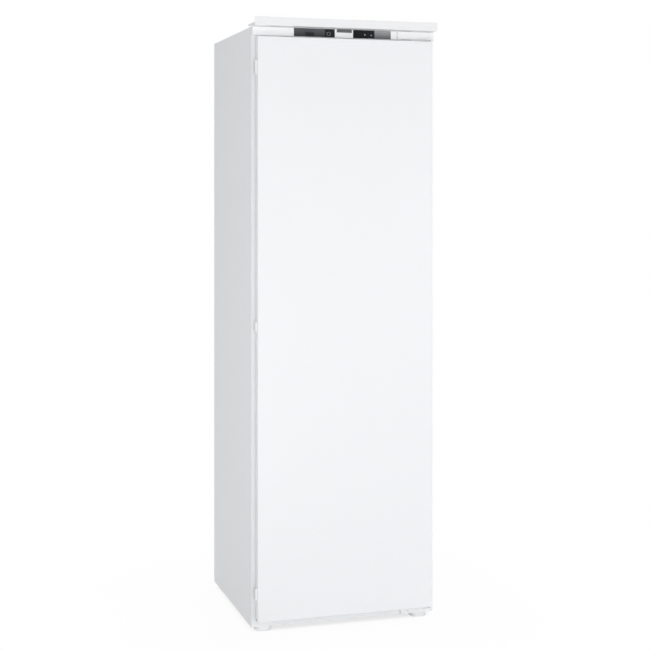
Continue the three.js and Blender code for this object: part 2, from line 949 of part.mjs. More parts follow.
function dripTray() {
  const low = compressorTop + seat;
  const long = [compressorX - dripLength / 2, compressorX + dripLength / 2];
  const wide = [coilY - dripWidth / 2, coilY + dripWidth / 2];
  const shrunk = ([a, b], amount) => [a + amount, b - amount];
  const ring = (z, amount) => ringAt('z', z, shrunk(long, amount), shrunk(wide, amount), dripCorner);
  const outside = loft([ring(low, dripTaper), ring(low + dripHeight, 0)]);
  const inside = loft([
    ring(low + dripWall, dripTaper + dripWall),
    ring(low + dripHeight + dripWall, dripWall),
  ]);
  return outside.subtract(inside);
}

const drainDip = 10;

function drainTube() {
  const low = compressorTop + seat + dripHeight - drainDip;
  const bore = drainRadius - drainWall;
  return turnedBody([
    [bore, low],
    [drainRadius, low],
    [drainRadius, humpTop],
    [bore, humpTop],
    [bore, low],
  ], 'z', [drainX, coilY, 0], pinSides);
}

// Condenser: a serpentine tube with wires across it, standing off the rear panel in the recess

const condenserSetback = 12;
const condenserRadius = 2.5;
const condenserBend = 18;
const condenserPassCount = 11;
const condenserTopGap = 245;
const condenserLowGap = 105;
const condenserEndGap = 15;
const condenserSideGap = 78;
const riserSideGap = 50;
const wireCount = 6;
const wireEndGap = 25;
const wireSize = 1.6;
const wireSink = 0.5;
const wireOverhang = 20;
const standoffEndGap = 80;
const standoffWidth = 8;
const standoffHeight = 7;

const condenserY = backY - condenserSetback;
const condenserTop = topZ - condenserTopGap;
const condenserLow = bayTop + condenserLowGap;
const condenserEnd = bayTop + condenserEndGap;
const condenserHalf = halfWidth - condenserSideGap;
const riserX = halfWidth - riserSideGap;
const condenserPitch = (condenserTop - condenserLow) / (condenserPassCount - 1);

function condenser() {
  const corners = [[riserX, condenserY, condenserEnd]];
  for (let pass = 0; pass < condenserPassCount; pass += 1) {
    const z = condenserTop - pass * condenserPitch;
    const start = pass === 0 ? riserX : (pass % 2 === 0 ? condenserHalf : -condenserHalf);
    corners.push([start, condenserY, z]);
    corners.push([pass % 2 === 0 ? -condenserHalf : condenserHalf, condenserY, z]);
  }
  corners.push([-condenserHalf, condenserY, condenserEnd]);
  const flat = condenserRadius * Math.cos(Math.PI / tubeSides);
  const wireFront = condenserY + flat - wireSink;
  const wireHalf = condenserHalf - wireEndGap;
  const wires = evenly(wireCount, -wireHalf, wireHalf).map((x) => block(
    [x - wireSize / 2, x + wireSize / 2],
    [wireFront, wireFront + wireSize],
    [condenserLow - wireOverhang, condenserTop + wireOverhang],
  ));
  const standoffX = condenserHalf - standoffEndGap;
  const standoffLevels = [condenserTop - condenserPitch, condenserLow + condenserPitch];
  const standoffs = standoffLevels.flatMap((z) => [-standoffX, standoffX].map((x) => block(
    [x - standoffWidth / 2, x + standoffWidth / 2],
    [rearPanelY + seat, condenserY],
    [z - standoffHeight / 2, z + standoffHeight / 2],
  )));
  return joined([tube(corners, condenserRadius, condenserBend), ...wires, ...standoffs]);
}

const pipeRise = 85;
const pipeBend = 14;

function dischargePipe() {
  const z = bottomZ + compressorLow + compressorHeight - compressorDome - seamHalf;
  const start = compressorX + compressorRadius + seat;
  return tube([
    [start, coilY, z],
    [riserX, coilY, z],
    [riserX, condenserY, z],
    [riserX, condenserY, condenserEnd - seat],
  ], condenserRadius, pipeBend);
}

function suctionPipe() {
  const z = bottomZ + compressorLow + pipeRise + seamHalf + suctionRadius;
  const start = compressorX - compressorRadius - seat;
  return tube([
    [start, coilY, z],
    [suctionX, coilY, z],
    [suctionX, coilY, finLow - coilStub / 2 - seat],
  ], suctionRadius, suctionRadius * 2);
}

const drierRadius = 9;
const drierLength = 70;
const drierNeck = 12;

function filterDrier() {
  const high = condenserEnd - seat;
  const low = high - drierLength;
  return turnedBody([
    [0, low],
    [condenserRadius, low],
    [condenserRadius, low + drierNeck / 2],
    [drierRadius, low + drierNeck],
    [drierRadius, high - drierNeck],
    [condenserRadius, high - drierNeck / 2],
    [condenserRadius, high],
    [0, high],
  ], 'z', [-condenserHalf, condenserY, 0], pinSides);
}

const inletSideGap = 43;
const inletX = inletSideGap - halfWidth;
const inletSize = { x: 36, y: 26, z: 32 };
const inletRecess = { x: 25, y: 16, z: 17 };
const inletPin = { x: 2, y: 12, z: 4 };
const inletPinPitch = 7;
const inletCorner = 3;
const inletLift = 3;

function mainsInlet() {
  const rear = backY - 2 * (steelSheet + seat);
  const low = trayTopZ + seat;
  const wide = [inletX - inletSize.x / 2, inletX + inletSize.x / 2];
  const deep = [rear - inletSize.y, rear];
  const housing = roundedSlab('y', wide, [low, low + inletSize.z], deep, inletCorner);
  const recessZ = low + inletSize.z / 2 + inletLift;
  const recess = roundedSlab(
    'y',
    [inletX - inletRecess.x / 2, inletX + inletRecess.x / 2],
    [recessZ - inletRecess.z / 2, recessZ + inletRecess.z / 2],
    [rear - inletRecess.y, rear + overrun],
    inletCorner,
  );
  const pinLow = recessZ - inletRecess.z / 2 + inletPin.z;
  const pins = [-1, 0, 1].map((place) => block(
    [inletX + place * inletPinPitch - inletPin.x / 2, inletX + place * inletPinPitch + inletPin.x / 2],
    [rear - inletRecess.y - inletPin.x, rear - inletRecess.y + inletPin.y],
    [pinLow, pinLow + inletPin.z],
  ));
  return joined([housing.subtract(recess), ...pins]);
}

addPiece(cabinetGroup, 'base_plate', basePlate(), greySteel);
addPiece(cabinetGroup, 'compressor', compressor(), blackSteel);
addPiece(cabinetGroup, 'start_relay_cover', startRelayCover(), blackPlastic);
addPiece(cabinetGroup, 'drip_tray', dripTray(), trayGrey);
addPiece(cabinetGroup, 'drain_tube', drainTube(), whitePlastic);
addPiece(cabinetGroup, 'condenser', condenser(), blackSteel);
addPiece(cabinetGroup, 'discharge_pipe', dischargePipe(), copper);
addPiece(cabinetGroup, 'suction_pipe', suctionPipe(), copper);
addPiece(cabinetGroup, 'filter_drier', filterDrier(), copper);
addPiece(cabinetGroup, 'mains_inlet', mainsInlet(), blackPlastic);

// Feet: long front feet with a round outer corner, and round rear feet under the base plate

const footInset = 15;
const footWidth = 49;
const footDepth = 68;
const footSetback = 5;
const footCorner = 16;
const footSole = 2;
const footDraft = 2;
const rearFootRadius = 19;
const rearFootSideGap = 43;
const rearFootSetback = 36;

function frontFoot(side) {
  const outer = halfWidth - footInset;
  const wide = [outer - footWidth, outer].map((x) => side * x).sort((a, b) => a - b);
  const deep = [frontY + footSetback, frontY + footSetback + footDepth];
  const shrunk = ([a, b], amount) => [a + amount, b - amount];
  return loft([
    ringAt('z', 0, shrunk(wide, footDraft), shrunk(deep, footDraft), footCorner - footDraft),
    ringAt('z', footSole, wide, deep, footCorner),
    ringAt('z', footHeight - seat, wide, deep, footCorner),
  ]);
}

function rearFoot(side) {
  return turnedBody([
    [0, 0],
    [rearFootRadius - footDraft, 0],
    [rearFootRadius, footSole],
    [rearFootRadius / 2, footHeight - seat],
    [0, footHeight - seat],
  ], 'z', [side * (halfWidth - rearFootSideGap), backY - rearFootSetback, 0], pinSides);
}

addPiece(cabinetGroup, 'front_foot_left', frontFoot(-1), whitePlastic);
addPiece(cabinetGroup, 'front_foot_right', frontFoot(1), whitePlastic);
addPiece(cabinetGroup, 'rear_foot_left', rearFoot(-1), blackPlastic);
addPiece(cabinetGroup, 'rear_foot_right', rearFoot(1), blackPlastic);

// Control fascia above the door, with two display windows, a bare centre plate, a board and keys

const fasciaReach = 10;
const fasciaWall = 3.5;
const fasciaEdge = 1.5;
const fasciaGap = 3.2;
const fasciaSoft = 1.2;
const coverWidth = 114.5;
const windowLedge = 1.5;
const windowPocket = 2.3;
const windowMargin = 1.2;
const windowLeft = { sideGap: 124, inner: 30 };
const windowRight = { sideGap: 135, inner: 26 };
const plateFrom = -24;
const plateTo = 22;
const plateHeight = 9;
const plateThickness = 1.2;
const platePocket = 1;
const boardThickness = 1.6;
const boardMargin = 2;
const boardReach = 6;
const keyTravel = 0.8;
const powerKeyInset = 19;
const powerKeyRadius = 6.5;
const coolerKeyInset = 36;
const warmerKeyInset = 56;
const arrowKeyRadius = 4.5;
const keyBelowMiddle = 2;
const keyProud = 0.4;
const keyCollar = 0.6;
const keyCollarDepth = 1;

const fasciaLow = doorTop + fasciaGap;
const fasciaHigh = topZ - seat;
const fasciaMiddle = middle(fasciaLow, fasciaHigh);
const fasciaLeft = -halfWidth + seat;
const coverLeft = halfWidth - coverWidth;
const fasciaRight = coverLeft - seat;
const fasciaFrontY = ahead(fasciaReach);
const windowTall = [fasciaLow + windowMargin, fasciaHigh - windowMargin];
const keyZ = fasciaMiddle - keyBelowMiddle;
const leftPane = [windowLeft.sideGap - halfWidth, -windowLeft.inner];
const rightPane = [windowRight.inner, halfWidth - windowRight.sideGap];

function fasciaBar([left, right]) {
  const soft = fasciaFrontY + fasciaSoft;
  const shape = outline([
    [ahead(seat), fasciaLow],
    [ahead(seat), fasciaHigh],
    [soft, fasciaHigh],
    [fasciaFrontY, fasciaHigh - fasciaSoft],
    [fasciaFrontY, fasciaLow + fasciaSoft],
    [soft, fasciaLow],
  ]);
  const channel = block(
    [left + fasciaEdge, right - fasciaEdge],
    [fasciaFrontY + fasciaWall, frontY + overrun],
    [fasciaLow + fasciaEdge, fasciaHigh - fasciaEdge],
  );
  return prism(shape, 'x', left, right).subtract(channel);
}

function windowCuts([from, to]) {
  const pocket = block([from, to], [fasciaFrontY - overrun, fasciaFrontY + windowPocket], windowTall);
  const through = block(
    [from + windowLedge, to - windowLedge],
    [fasciaFrontY - overrun, frontY],
    [windowTall[0] + windowLedge, windowTall[1] - windowLedge],
  );
  return pocket.add(through);
}

const plateTall = [fasciaHigh - fasciaSoft - plateHeight, fasciaHigh - fasciaSoft];

function topFascia() {
  const plateCut = block(
    [plateFrom - seat, plateTo + seat],
    [fasciaFrontY - overrun, fasciaFrontY + platePocket],
    [plateTall[0] - seat, plateTall[1] + fasciaSoft + overrun],
  );
  return fasciaBar([fasciaLeft, fasciaRight])
    .subtract(windowCuts(leftPane))
    .subtract(windowCuts(rightPane))
    .subtract(plateCut);
}

function displayWindow([from, to], keys) {
  const pane = block(
    [from + seat, to - seat],
    [fasciaFrontY, fasciaFrontY + windowPocket - seat],
    [windowTall[0] + seat, windowTall[1] - seat],
  );
  return keys.reduce((cut, { x, radius }) => cut.subtract(rod(
    radius + seat,
    'y',
    [fasciaFrontY - overrun, fasciaFrontY + overrun],
    [x, 0, keyZ],
  )), pane);
}

function controlKey({ x, radius }) {
  const front = fasciaFrontY - keyProud;
  const paneRear = fasciaFrontY + windowPocket;
  const rear = ahead(seat + boardThickness + seat + keyTravel);
  return turnedBody([
    [0, front],
    [radius - keyProud, front],
    [radius, front + keyProud],
    [radius, paneRear],
    [radius + keyCollar, paneRear],
    [radius + keyCollar, paneRear + keyCollarDepth],
    [radius, paneRear + keyCollarDepth],
    [radius / 2, rear],
    [0, rear],
  ], 'y', [x, 0, keyZ], pinSides);
}

const powerKey = { x: leftPane[1] - powerKeyInset, radius: powerKeyRadius };
const coolerKey = { x: rightPane[0] + coolerKeyInset, radius: arrowKeyRadius };
const warmerKey = { x: rightPane[0] + warmerKeyInset, radius: arrowKeyRadius };

const centrePlate = block(
  [plateFrom, plateTo],
  [fasciaFrontY + platePocket - seat - plateThickness, fasciaFrontY + platePocket - seat],
  plateTall,
);
const controlBoard = block(
  [leftPane[0] - boardReach, rightPane[1] + boardReach],
  [ahead(seat + boardThickness), ahead(seat)],
  [fasciaLow + fasciaEdge + boardMargin, fasciaHigh - fasciaEdge - boardMargin],
);

addPiece(cabinetGroup, 'top_fascia', topFascia(), whitePlastic);
addPiece(cabinetGroup, 'display_window_left', displayWindow(leftPane, [powerKey]), displayGlass);
addPiece(
  cabinetGroup,
  'display_window_right',
  displayWindow(rightPane, [coolerKey, warmerKey]),
  displayGlass,
);
addPiece(cabinetGroup, 'centre_plate', centrePlate, trayGrey);
addPiece(cabinetGroup, 'control_board', controlBoard, boardGreen);
addPiece(keyGroup, 'power_key', controlKey(powerKey), blackPlastic);
addPiece(keyGroup, 'cooler_key', controlKey(coolerKey), blackPlastic);
addPiece(keyGroup, 'warmer_key', controlKey(warmerKey), blackPlastic);

// Hinges on the right, and the cover over the upper one

const upperLeafGap = { left: 100, right: 28 };
const leafHeight = 19;
const screwHead = 5;
const screwRise = 1.8;
const screwSpacing = 40;
const lowerLeafGap = { left: 102, right: 7 };
const lowerLeafDrop = 15;
const armWidth = 44;
const armMargin = 9;
const coverField = { side: 6, edge: 3, rise: 1 };
const coverWall = 2;

const leafLeft = halfWidth - upperLeafGap.left;
const leafRight = halfWidth - upperLeafGap.right;
const lowerLeaf = [halfWidth - lowerLeafGap.left, halfWidth - lowerLeafGap.right];
const upperPlate = [doorTop + hingeGap, doorTop + hingeGap + hingePlate];
const lowerPlate = [doorBottom - hingeGap - hingePlate, doorBottom - hingeGap];

function hingeArm([left, right], plate) {
  const shape = new THREE.Shape();
  const nose = armMargin;
  shape.moveTo(left, ahead(seat));
  shape.lineTo(left, ahead(doorStandOff));
  shape.lineTo(hingeX - nose, hingeY - nose);
  shape.quadraticCurveTo(hingeX, hingeY - nose - nose / 2, hingeX + nose, hingeY - nose / 2);
  shape.lineTo(right, ahead(seat));
  return prism(shape, 'z', plate[0], plate[1]);
}

function upperHinge() {
  const leaf = roundedSlab(
    'y',
    [leafLeft, leafRight],
    [upperPlate[0], upperPlate[0] + leafHeight],
    [ahead(seat + hingePlate), ahead(seat)],
    hingePlate / 2,
  );
  const pinEnds = [doorTop - hingePinLength, upperPlate[1]];
  const pin = rod(hingePinRadius, 'z', pinEnds, [hingeX, hingeY, 0]);
  const screws = [-1, 1].map((side) => rod(
    screwHead,
    'y',
    [ahead(seat + hingePlate + screwRise), ahead(seat + hingePlate / 2)],
    [middle(leafLeft, leafRight) + side * (screwSpacing / 2), 0, fasciaMiddle],
  ));
  const arm = hingeArm([leafRight - armWidth, halfWidth - doorInset], upperPlate);
  return joined([leaf, arm, pin, ...screws]);
}

function lowerHinge() {
  const leaf = roundedSlab(
    'y',
    lowerLeaf,
    [lowerPlate[0] - lowerLeafDrop, lowerPlate[1]],
    [ahead(seat + hingePlate), ahead(seat)],
    hingePlate / 2,
  );
  const pinEnds = [lowerPlate[0], doorBottom + hingePinLength];
  const pin = rod(hingePinRadius, 'z', pinEnds, [hingeX, hingeY, 0]);
  const arm = hingeArm([lowerLeaf[1] - armWidth, lowerLeaf[1]], lowerPlate);
  return joined([leaf, arm, pin]);
}

function hingeCover() {
  const body = fasciaBar([coverLeft, halfWidth - seat]);
  const field = roundedSlab(
    'y',
    [coverLeft + coverField.side, halfWidth - seat - coverField.side],
    [fasciaLow + coverField.edge, fasciaHigh - coverField.edge],
    [fasciaFrontY - coverField.rise, fasciaFrontY + coverWall],
    coverField.edge,
  );
  const leafSlot = block(
    [leafLeft - seat, halfWidth - doorInset + seat],
    [fasciaFrontY + fasciaWall, frontY + overrun],
    [fasciaLow - overrun, fasciaHigh - fasciaEdge],
  );
  const armSlot = block(
    [leafLeft - overrun, halfWidth - doorInset + seat],
    [fasciaFrontY - overrun, frontY + overrun],
    [fasciaLow - overrun, upperPlate[1] + seat],
  );
  return body.add(field).subtract(leafSlot).subtract(armSlot);
}

addPiece(cabinetGroup, 'upper_hinge', upperHinge(), zinc);
addPiece(cabinetGroup, 'lower_hinge', lowerHinge(), whiteSteel);
addPiece(cabinetGroup, 'hinge_cover', hingeCover(), whitePlastic);

// Top trim: a plate in front, a flange behind it on two clips, and a wedge at each end

const trimWall = 2;
const trimFlangeRise = 6;
const trimFlange = 3;
const trimBack = 38;
const wedgeTip = 2;
const clipWidth = 30;
const clipDepth = 20;
const clipSideGap = 78;

function topTrim() {
  const face = ahead(trimReach);
  const flangeLow = topZ + trimFlangeRise;
  const flangeRear = frontY + trimBack;
  const tall = [topZ - seat, topZ + trimRise];
  const plate = block([-halfWidth, halfWidth], [face, face + trimWall], tall);
  const flange = block(
    [-halfWidth, halfWidth],
    [face + trimWall / 2, flangeRear],
    [flangeLow, flangeLow + trimFlange],
  );
  const wedge = outline([
    [face + trimWall / 2, topZ + seat],
    [flangeRear, flangeLow - wedgeTip],
    [flangeRear, flangeLow + trimFlange / 2],
    [face + trimWall / 2, flangeLow + trimFlange / 2],
  ]);
  const ends = [-halfWidth, halfWidth - trimWall].map((x) => prism(wedge, 'x', x, x + trimWall));
  const clipX = halfWidth - clipSideGap;
  const clips = [-clipX, clipX].map((x) => block(
    [x - clipWidth / 2, x + clipWidth / 2],
    [flangeRear - clipDepth, flangeRear - clipDepth / 2],
    [topZ + seat, flangeLow + trimFlange / 2],
  ));
  return joined([plate, flange, ...ends, ...clips]);
}

addPiece(cabinetGroup, 'top_trim', topTrim(), whitePlastic);

// Door: a folded steel pan closed by end caps, foam, a formed inner panel and a magnetic gasket

const panReturn = 12;
const capDepth = 15;
const capLip = 1;
const panCorner = 2;
const linerInset = 5;
const linerStand = 5.7;
const plugSideGap = 14;
const plugEndGap = 12;
const plugTaper = 8;
const plugCorner = 22;
const dishInset = 30;
const dishDepth = 4;
const gasketInset = 16;
const gasketWidth = 16;
const magnetDepth = 2.6;
const bellowsWidth = 8;
const gasketEndInset = 11;

const panLow = doorBottom + capLip;
const panHigh = doorTop - capLip;

function doorSkin() {
  const rear = doorRearY;
  const shape = foldedOutline([
    [-doorHalf + panReturn, rear],
    [-doorHalf, rear],
    [-doorHalf, doorFrontY + panCorner],
    [-doorHalf + panCorner / 2, doorFrontY + panCorner / 4],
    [-doorHalf + panCorner, doorFrontY],
    [doorHalf - panCorner, doorFrontY],
    [doorHalf - panCorner / 2, doorFrontY + panCorner / 4],
    [doorHalf, doorFrontY + panCorner],
    [doorHalf, rear],
    [doorHalf - panReturn, rear],
  ], steelSheet);
  return prism(shape, 'z', panLow + seat, panHigh - seat);
}

function doorCap(edge, inward) {
  const inset = steelSheet + seat;
  const lip = [edge, edge + inward * capLip].sort((a, b) => a - b);
  const body = [edge, edge + inward * capDepth].sort((a, b) => a - b);
  const deep = [doorFrontY + inset, doorRearY - inset];
  const bore = rod(
    hingePinRadius + seat,
    'z',
    [edge - inward * overrun, edge + inward * (hingePinLength + seat)].sort((a, b) => a - b),
    [hingeX, hingeY, 0],
  );
  return roundedSlab('z', [-doorHalf, doorHalf], [doorFrontY, doorRearY], lip, panCorner)
    .add(block([inset - doorHalf + panCorner, doorHalf - inset - panCorner], deep, body))
    .subtract(bore);
}

// The inner panel's plug, drawn in by an offset for its inner face and for the foam behind it. The
// dish in its face has sides at 45 degrees, so their offset runs out by a mitre.

function plug(offset, root) {
  const half = innerHalf - plugSideGap - offset;
  const low = cavityFloor + plugEndGap + offset;
  const high = cavityTop - plugEndGap - offset;
  const face = frontY + plugReach - offset;
  const radius = plugCorner - offset;
  const dish = plugTaper + dishInset - offset * (1 + Math.tan(Math.PI / 8));
  const ring = (y, inset) => ringAt(
    'y',
    y,
    [inset - half, half - inset],
    [low + inset, high - inset],
    radius,
  );
  return loft([
    ring(root, 0),
    ring(face, plugTaper),
    ring(face, dish),
    ring(face - dishDepth, dish + dishDepth),
  ]);
}

function doorLiner() {
  const half = doorHalf - linerInset;
  const sheetY = [doorRearY + seat, doorRearY + seat + linerWall];
  const tall = [doorBottom + linerInset, doorTop - linerInset];
  const plate = roundedSlab('y', [-half, half], tall, sheetY, panCorner);
  return plate
    .add(plug(0, sheetY[0] + linerWall / 2))
    .subtract(plug(linerWall, sheetY[0] - overrun));
}

function doorInsulation() {
  const inset = steelSheet + seat;
  const half = doorHalf - inset - panCorner;
  const slab = block(
    [-half, half],
    [doorFrontY + inset, doorRearY - inset],
    [doorBottom + capDepth + seat, doorTop - capDepth - seat],
  );
  return slab.add(plug(linerWall + seat, doorRearY - inset - overrun));
}

function gasketFrame(width, [y0, y1], inset) {
  const half = doorHalf - gasketInset - inset;
  const low = doorBottom + gasketEndInset + inset;
  const high = doorTop - gasketEndInset - inset;
  const outer = block([-half, half], [y0, y1], [low, high]);
  const across = [width - half, half - width];
  const inner = block(across, [y0 - overrun, y1 + overrun], [low + width, high - width]);
  return outer.subtract(inner);
}

function doorGasket() {
  const sealY = frontY - seat;
  const magnetY = sealY - magnetDepth;
  const baseY = doorRearY + 2 * seat + linerWall;
  const rib = magnetDepth / 2;
  return joined([
    gasketFrame(gasketWidth, [magnetY, sealY], 0),
    gasketFrame(bellowsWidth, [baseY, sealY - rib], (gasketWidth - bellowsWidth) / 2),
  ]);
}

// Slide couplers on the left edge of the door, for the furniture door in front of it

const couplerReach = 6.5;
const couplerBase = 2.4;
const couplerDepth = 18;
const couplerNose = 10;
const couplerCorner = 1.5;
const topCoupler = { drop: 90, height: 40 };
const middleCoupler = { rise: 7.5, height: 27 };
const bottomCoupler = { rise: 82.5, height: 35 };

function slideCoupler(level, height) {
  const low = level - height / 2;
  const high = level + height / 2;
  const right = -doorHalf - seat;
  const rear = doorFrontY + couplerDepth;
  const foot = roundedSlab(
    'x',
    [doorFrontY, rear],
    [low, high],
    [right - couplerBase, right],
    couplerCorner,
  );
  const nose = roundedSlab(
    'z',
    [right - couplerReach, right - couplerBase / 2],
    [doorFrontY, doorFrontY + couplerNose],
    [low, high],
    couplerCorner / 2,
  );
  return foot.add(nose);
}

addPiece(doorGroup, 'door_skin', doorSkin(), whiteSteel);
addPiece(doorGroup, 'door_cap_bottom', doorCap(doorBottom, 1), whitePlastic);
addPiece(doorGroup, 'door_cap_top', doorCap(doorTop, -1), whitePlastic);
addPiece(doorGroup, 'door_insulation', doorInsulation(), foam);
addPiece(doorGroup, 'door_liner', doorLiner(), whitePlastic);
addPiece(doorGroup, 'door_gasket', doorGasket(), softRubber);
const couplers = {
  slide_bracket_top: slideCoupler(doorTop - topCoupler.drop, topCoupler.height),
  slide_bracket_middle: slideCoupler(middle(doorBottom, doorTop) + middleCoupler.rise, middleCoupler.height),
  slide_bracket_bottom: slideCoupler(doorBottom + bottomCoupler.rise, bottomCoupler.height),
};
Object.entries(couplers).forEach(([name, solid]) => addPiece(doorGroup, name, solid, whitePlastic));

export default freezer;
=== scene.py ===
"""A tall built-in freezer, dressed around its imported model. Metres, +Z up, the door faces -Y."""

import json
from contextlib import contextmanager
from math import cos, pi, radians, sin, tan

import bmesh
import bpy
from mathutils import Matrix, Vector


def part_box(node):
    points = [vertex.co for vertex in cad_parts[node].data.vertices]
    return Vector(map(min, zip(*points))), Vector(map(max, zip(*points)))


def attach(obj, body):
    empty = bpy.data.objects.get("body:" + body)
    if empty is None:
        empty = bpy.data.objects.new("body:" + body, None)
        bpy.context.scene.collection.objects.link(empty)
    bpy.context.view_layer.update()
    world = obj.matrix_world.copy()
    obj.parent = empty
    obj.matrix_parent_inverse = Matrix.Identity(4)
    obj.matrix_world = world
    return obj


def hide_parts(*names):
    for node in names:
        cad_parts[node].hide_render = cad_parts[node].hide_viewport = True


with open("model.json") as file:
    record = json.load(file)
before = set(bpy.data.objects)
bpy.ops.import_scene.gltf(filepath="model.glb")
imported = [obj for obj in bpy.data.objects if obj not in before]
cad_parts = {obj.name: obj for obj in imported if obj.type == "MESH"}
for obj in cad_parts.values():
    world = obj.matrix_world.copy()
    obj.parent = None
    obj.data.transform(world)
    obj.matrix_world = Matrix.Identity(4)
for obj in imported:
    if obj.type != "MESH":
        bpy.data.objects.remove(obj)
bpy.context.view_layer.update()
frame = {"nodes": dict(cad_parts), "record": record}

MM = 0.001
X, Y, Z = Vector((1, 0, 0)), Vector((0, 1, 0)), Vector((0, 0, 1))

# Tolerances: how near two corners are one, and the least cosine that counts as along or facing

WELD = 0.001 * MM
CAD_WELD = 0.002 * MM
FLAT_ANGLE = radians(0.5)
ALONG = 0.999
FACING = 0.9

# The photograph's frame, in pixels, and where its camera stood

IMAGE_SIDE = 650
OPTICAL_CENTRE = (334.7, 190.3)
FOCAL_PIXELS = 1410
CAMERA_PLACE = (-1.238, -4.179, 1.273)
CAMERA_YAW = 17.05
SENSOR = 36

# Helpers: selecting, adding and shaping. Places and lengths are in millimetres


def at(x, y, z):
    """A point in metres, from millimetres."""
    return Vector((x, y, z)) * MM


def take(piece):
    """Makes one object the only selected and the active one."""
    bpy.ops.object.select_all(action="DESELECT")
    piece.select_set(True)
    bpy.context.view_layer.objects.active = piece


@contextmanager
def editing(piece, mode="FACE"):
    """Edit mode on one object, with everything selected at the start."""
    take(piece)
    bpy.ops.object.mode_set(mode="EDIT")
    bpy.ops.mesh.select_mode(type=mode)
    bpy.ops.mesh.select_all(action="SELECT")
    yield
    bpy.ops.object.mode_set(mode="OBJECT")


def pick(piece, kind, test):
    """In edit mode, selects only the corners, edges or faces that pass the test."""
    bpy.ops.mesh.select_mode(type=kind)
    bpy.ops.mesh.select_all(action="DESELECT")
    mesh = bmesh.from_edit_mesh(piece.data)
    mesh.normal_update()
    for part in {"VERT": mesh.verts, "EDGE": mesh.edges, "FACE": mesh.faces}[kind]:
        if test(part):
            part.select_set(True)
    bmesh.update_edit_mesh(piece.data)


def along(axis):
    """A test for edges that run along an axis."""

    def runs_along(edge):
        start, end = (point.co for point in edge.verts)
        return abs((end - start).normalized().dot(axis)) > ALONG

    return runs_along


def facing(way):
    """A test for faces that look one way."""
    return lambda face: face.normal.dot(way) > FACING


def named(name):
    """Names the primitive just added, and moves its place, turn and size into its mesh."""
    piece = bpy.context.object
    piece.name = name
    take(piece)
    bpy.ops.object.transform_apply(location=True, rotation=True, scale=True)
    return piece


def extrude(step):
    """In edit mode, extrudes the selected faces by a step."""
    bpy.ops.mesh.extrude_region_move(TRANSFORM_OT_translate={"value": step})


def weld():
    """In edit mode, merges corners that coincide and turns every face outward."""
    bpy.ops.mesh.select_all(action="SELECT")
    bpy.ops.mesh.remove_doubles(threshold=WELD)
    bpy.ops.mesh.normals_make_consistent(inside=False)


def block(name, wide, deep, tall):
    """A box from low to high on X, Y and Z."""
    low, high = at(wide[0], deep[0], tall[0]), at(wide[1], deep[1], tall[1])
    bpy.ops.mesh.primitive_cube_add(size=1, location=(low + high) / 2, scale=high - low)
    return named(name)


def disc(name, sides, radius, place, rotation):
    """A flat disc, from which turned shapes and pipes are extruded."""
    bpy.ops.mesh.primitive_circle_add(
        vertices=sides, radius=radius * MM, fill_type="NGON", location=place, rotation=rotation
    )
    return named(name)


TURN_TO = {"x": (0, pi / 2, 0), "y": (-pi / 2, 0, 0), "z": (0, 0, 0)}
WAY = {"x": X, "y": Y, "z": Z}


def turned(name, axis, profile, centre=(0, 0, 0), sides=24):
    """A turned shape: a disc extruded and scaled through steps of (radius, place on the axis)."""
    way = WAY[axis]
    heart = at(*centre)
    radius, place = profile[0]
    piece = disc(name, sides, radius, heart + way * place * MM, TURN_TO[axis])
    with editing(piece):
        for new_radius, new_place in profile[1:]:
            extrude(way * (new_place - place) * MM)
            share = new_radius / radius
            bpy.ops.transform.resize(
                value=[1 if part else share for part in way],
                center_override=heart + way * new_place * MM,
            )
            radius, place = new_radius, new_place
        bpy.ops.mesh.select_all(action="SELECT")
        bpy.ops.mesh.normals_make_consistent(inside=False)
    return piece


def pipe(name, radius, corners, bend, sides=14, steps=7):
    """A tube through corners: a disc extruded along the straights and spun round the bends."""
    corners = [at(*corner) for corner in corners]
    here = corners[0]
    heading = (corners[1] - here).normalized()
    piece = disc(name, sides, radius, here, heading.to_track_quat("Z", "Y").to_euler())
    with editing(piece):
        for corner, after in zip(corners[1:], corners[2:]):
            leaving = (after - corner).normalized()
            turn = heading.angle(leaving)
            reach = bend * MM * tan(turn / 2)
            entry = corner - heading * reach
            extrude(entry - here)
            axle = heading.cross(leaving).normalized()
            middle = entry + axle.cross(heading) * bend * MM
            bpy.ops.mesh.spin(steps=steps, angle=-turn, center=middle, axis=axle)
            here = corner + leaving * reach
            heading = leaving
        extrude(corners[-1] - here)
        weld()
    return piece


def swept_frame(name, half, tall, profile):
    """A closed profile of (inset, place on Y), carried round an upright frame with mitres."""
    rise = (tall[1] - tall[0]) / 2
    middle = at(0, profile[0][1], (tall[0] + tall[1]) / 2)
    inset, deep = profile[0]
    bpy.ops.mesh.primitive_plane_add(size=2 * MM, location=middle, rotation=(pi / 2, 0, 0))
    piece = named(name)
    with editing(piece, "EDGE"):
        bpy.ops.transform.resize(value=(half - inset, 1, rise - inset), center_override=middle)
        bpy.ops.mesh.delete(type="ONLY_FACE")
        bpy.ops.mesh.select_all(action="SELECT")
        for new_inset, new_deep in profile[1:] + profile[:1]:
            step = Y * (new_deep - deep) * MM
            bpy.ops.mesh.extrude_edges_move(TRANSFORM_OT_translate={"value": step})
            shares = ((half - new_inset) / (half - inset), 1, (rise - new_inset) / (rise - inset))
            bpy.ops.transform.resize(value=shares, center_override=middle)
            inset, deep = new_inset, new_deep
        weld()
    return piece


def bevel(piece, width, segments, test=None):
    """Rounds the edges that pass the test, or every edge."""
    with editing(piece, "EDGE"):
        if test:
            pick(piece, "EDGE", test)
        bpy.ops.mesh.bevel(offset=width * MM, segments=segments, affect="EDGES")


def apply_modifier(piece, kind, **settings):
    """Adds one modifier and applies it at once."""
    take(piece)
    modifier = piece.modifiers.new(kind.lower(), kind)
    for key, value in settings.items():
        setattr(modifier, key, value)
    bpy.ops.object.modifier_apply(modifier=modifier.name)
    return piece


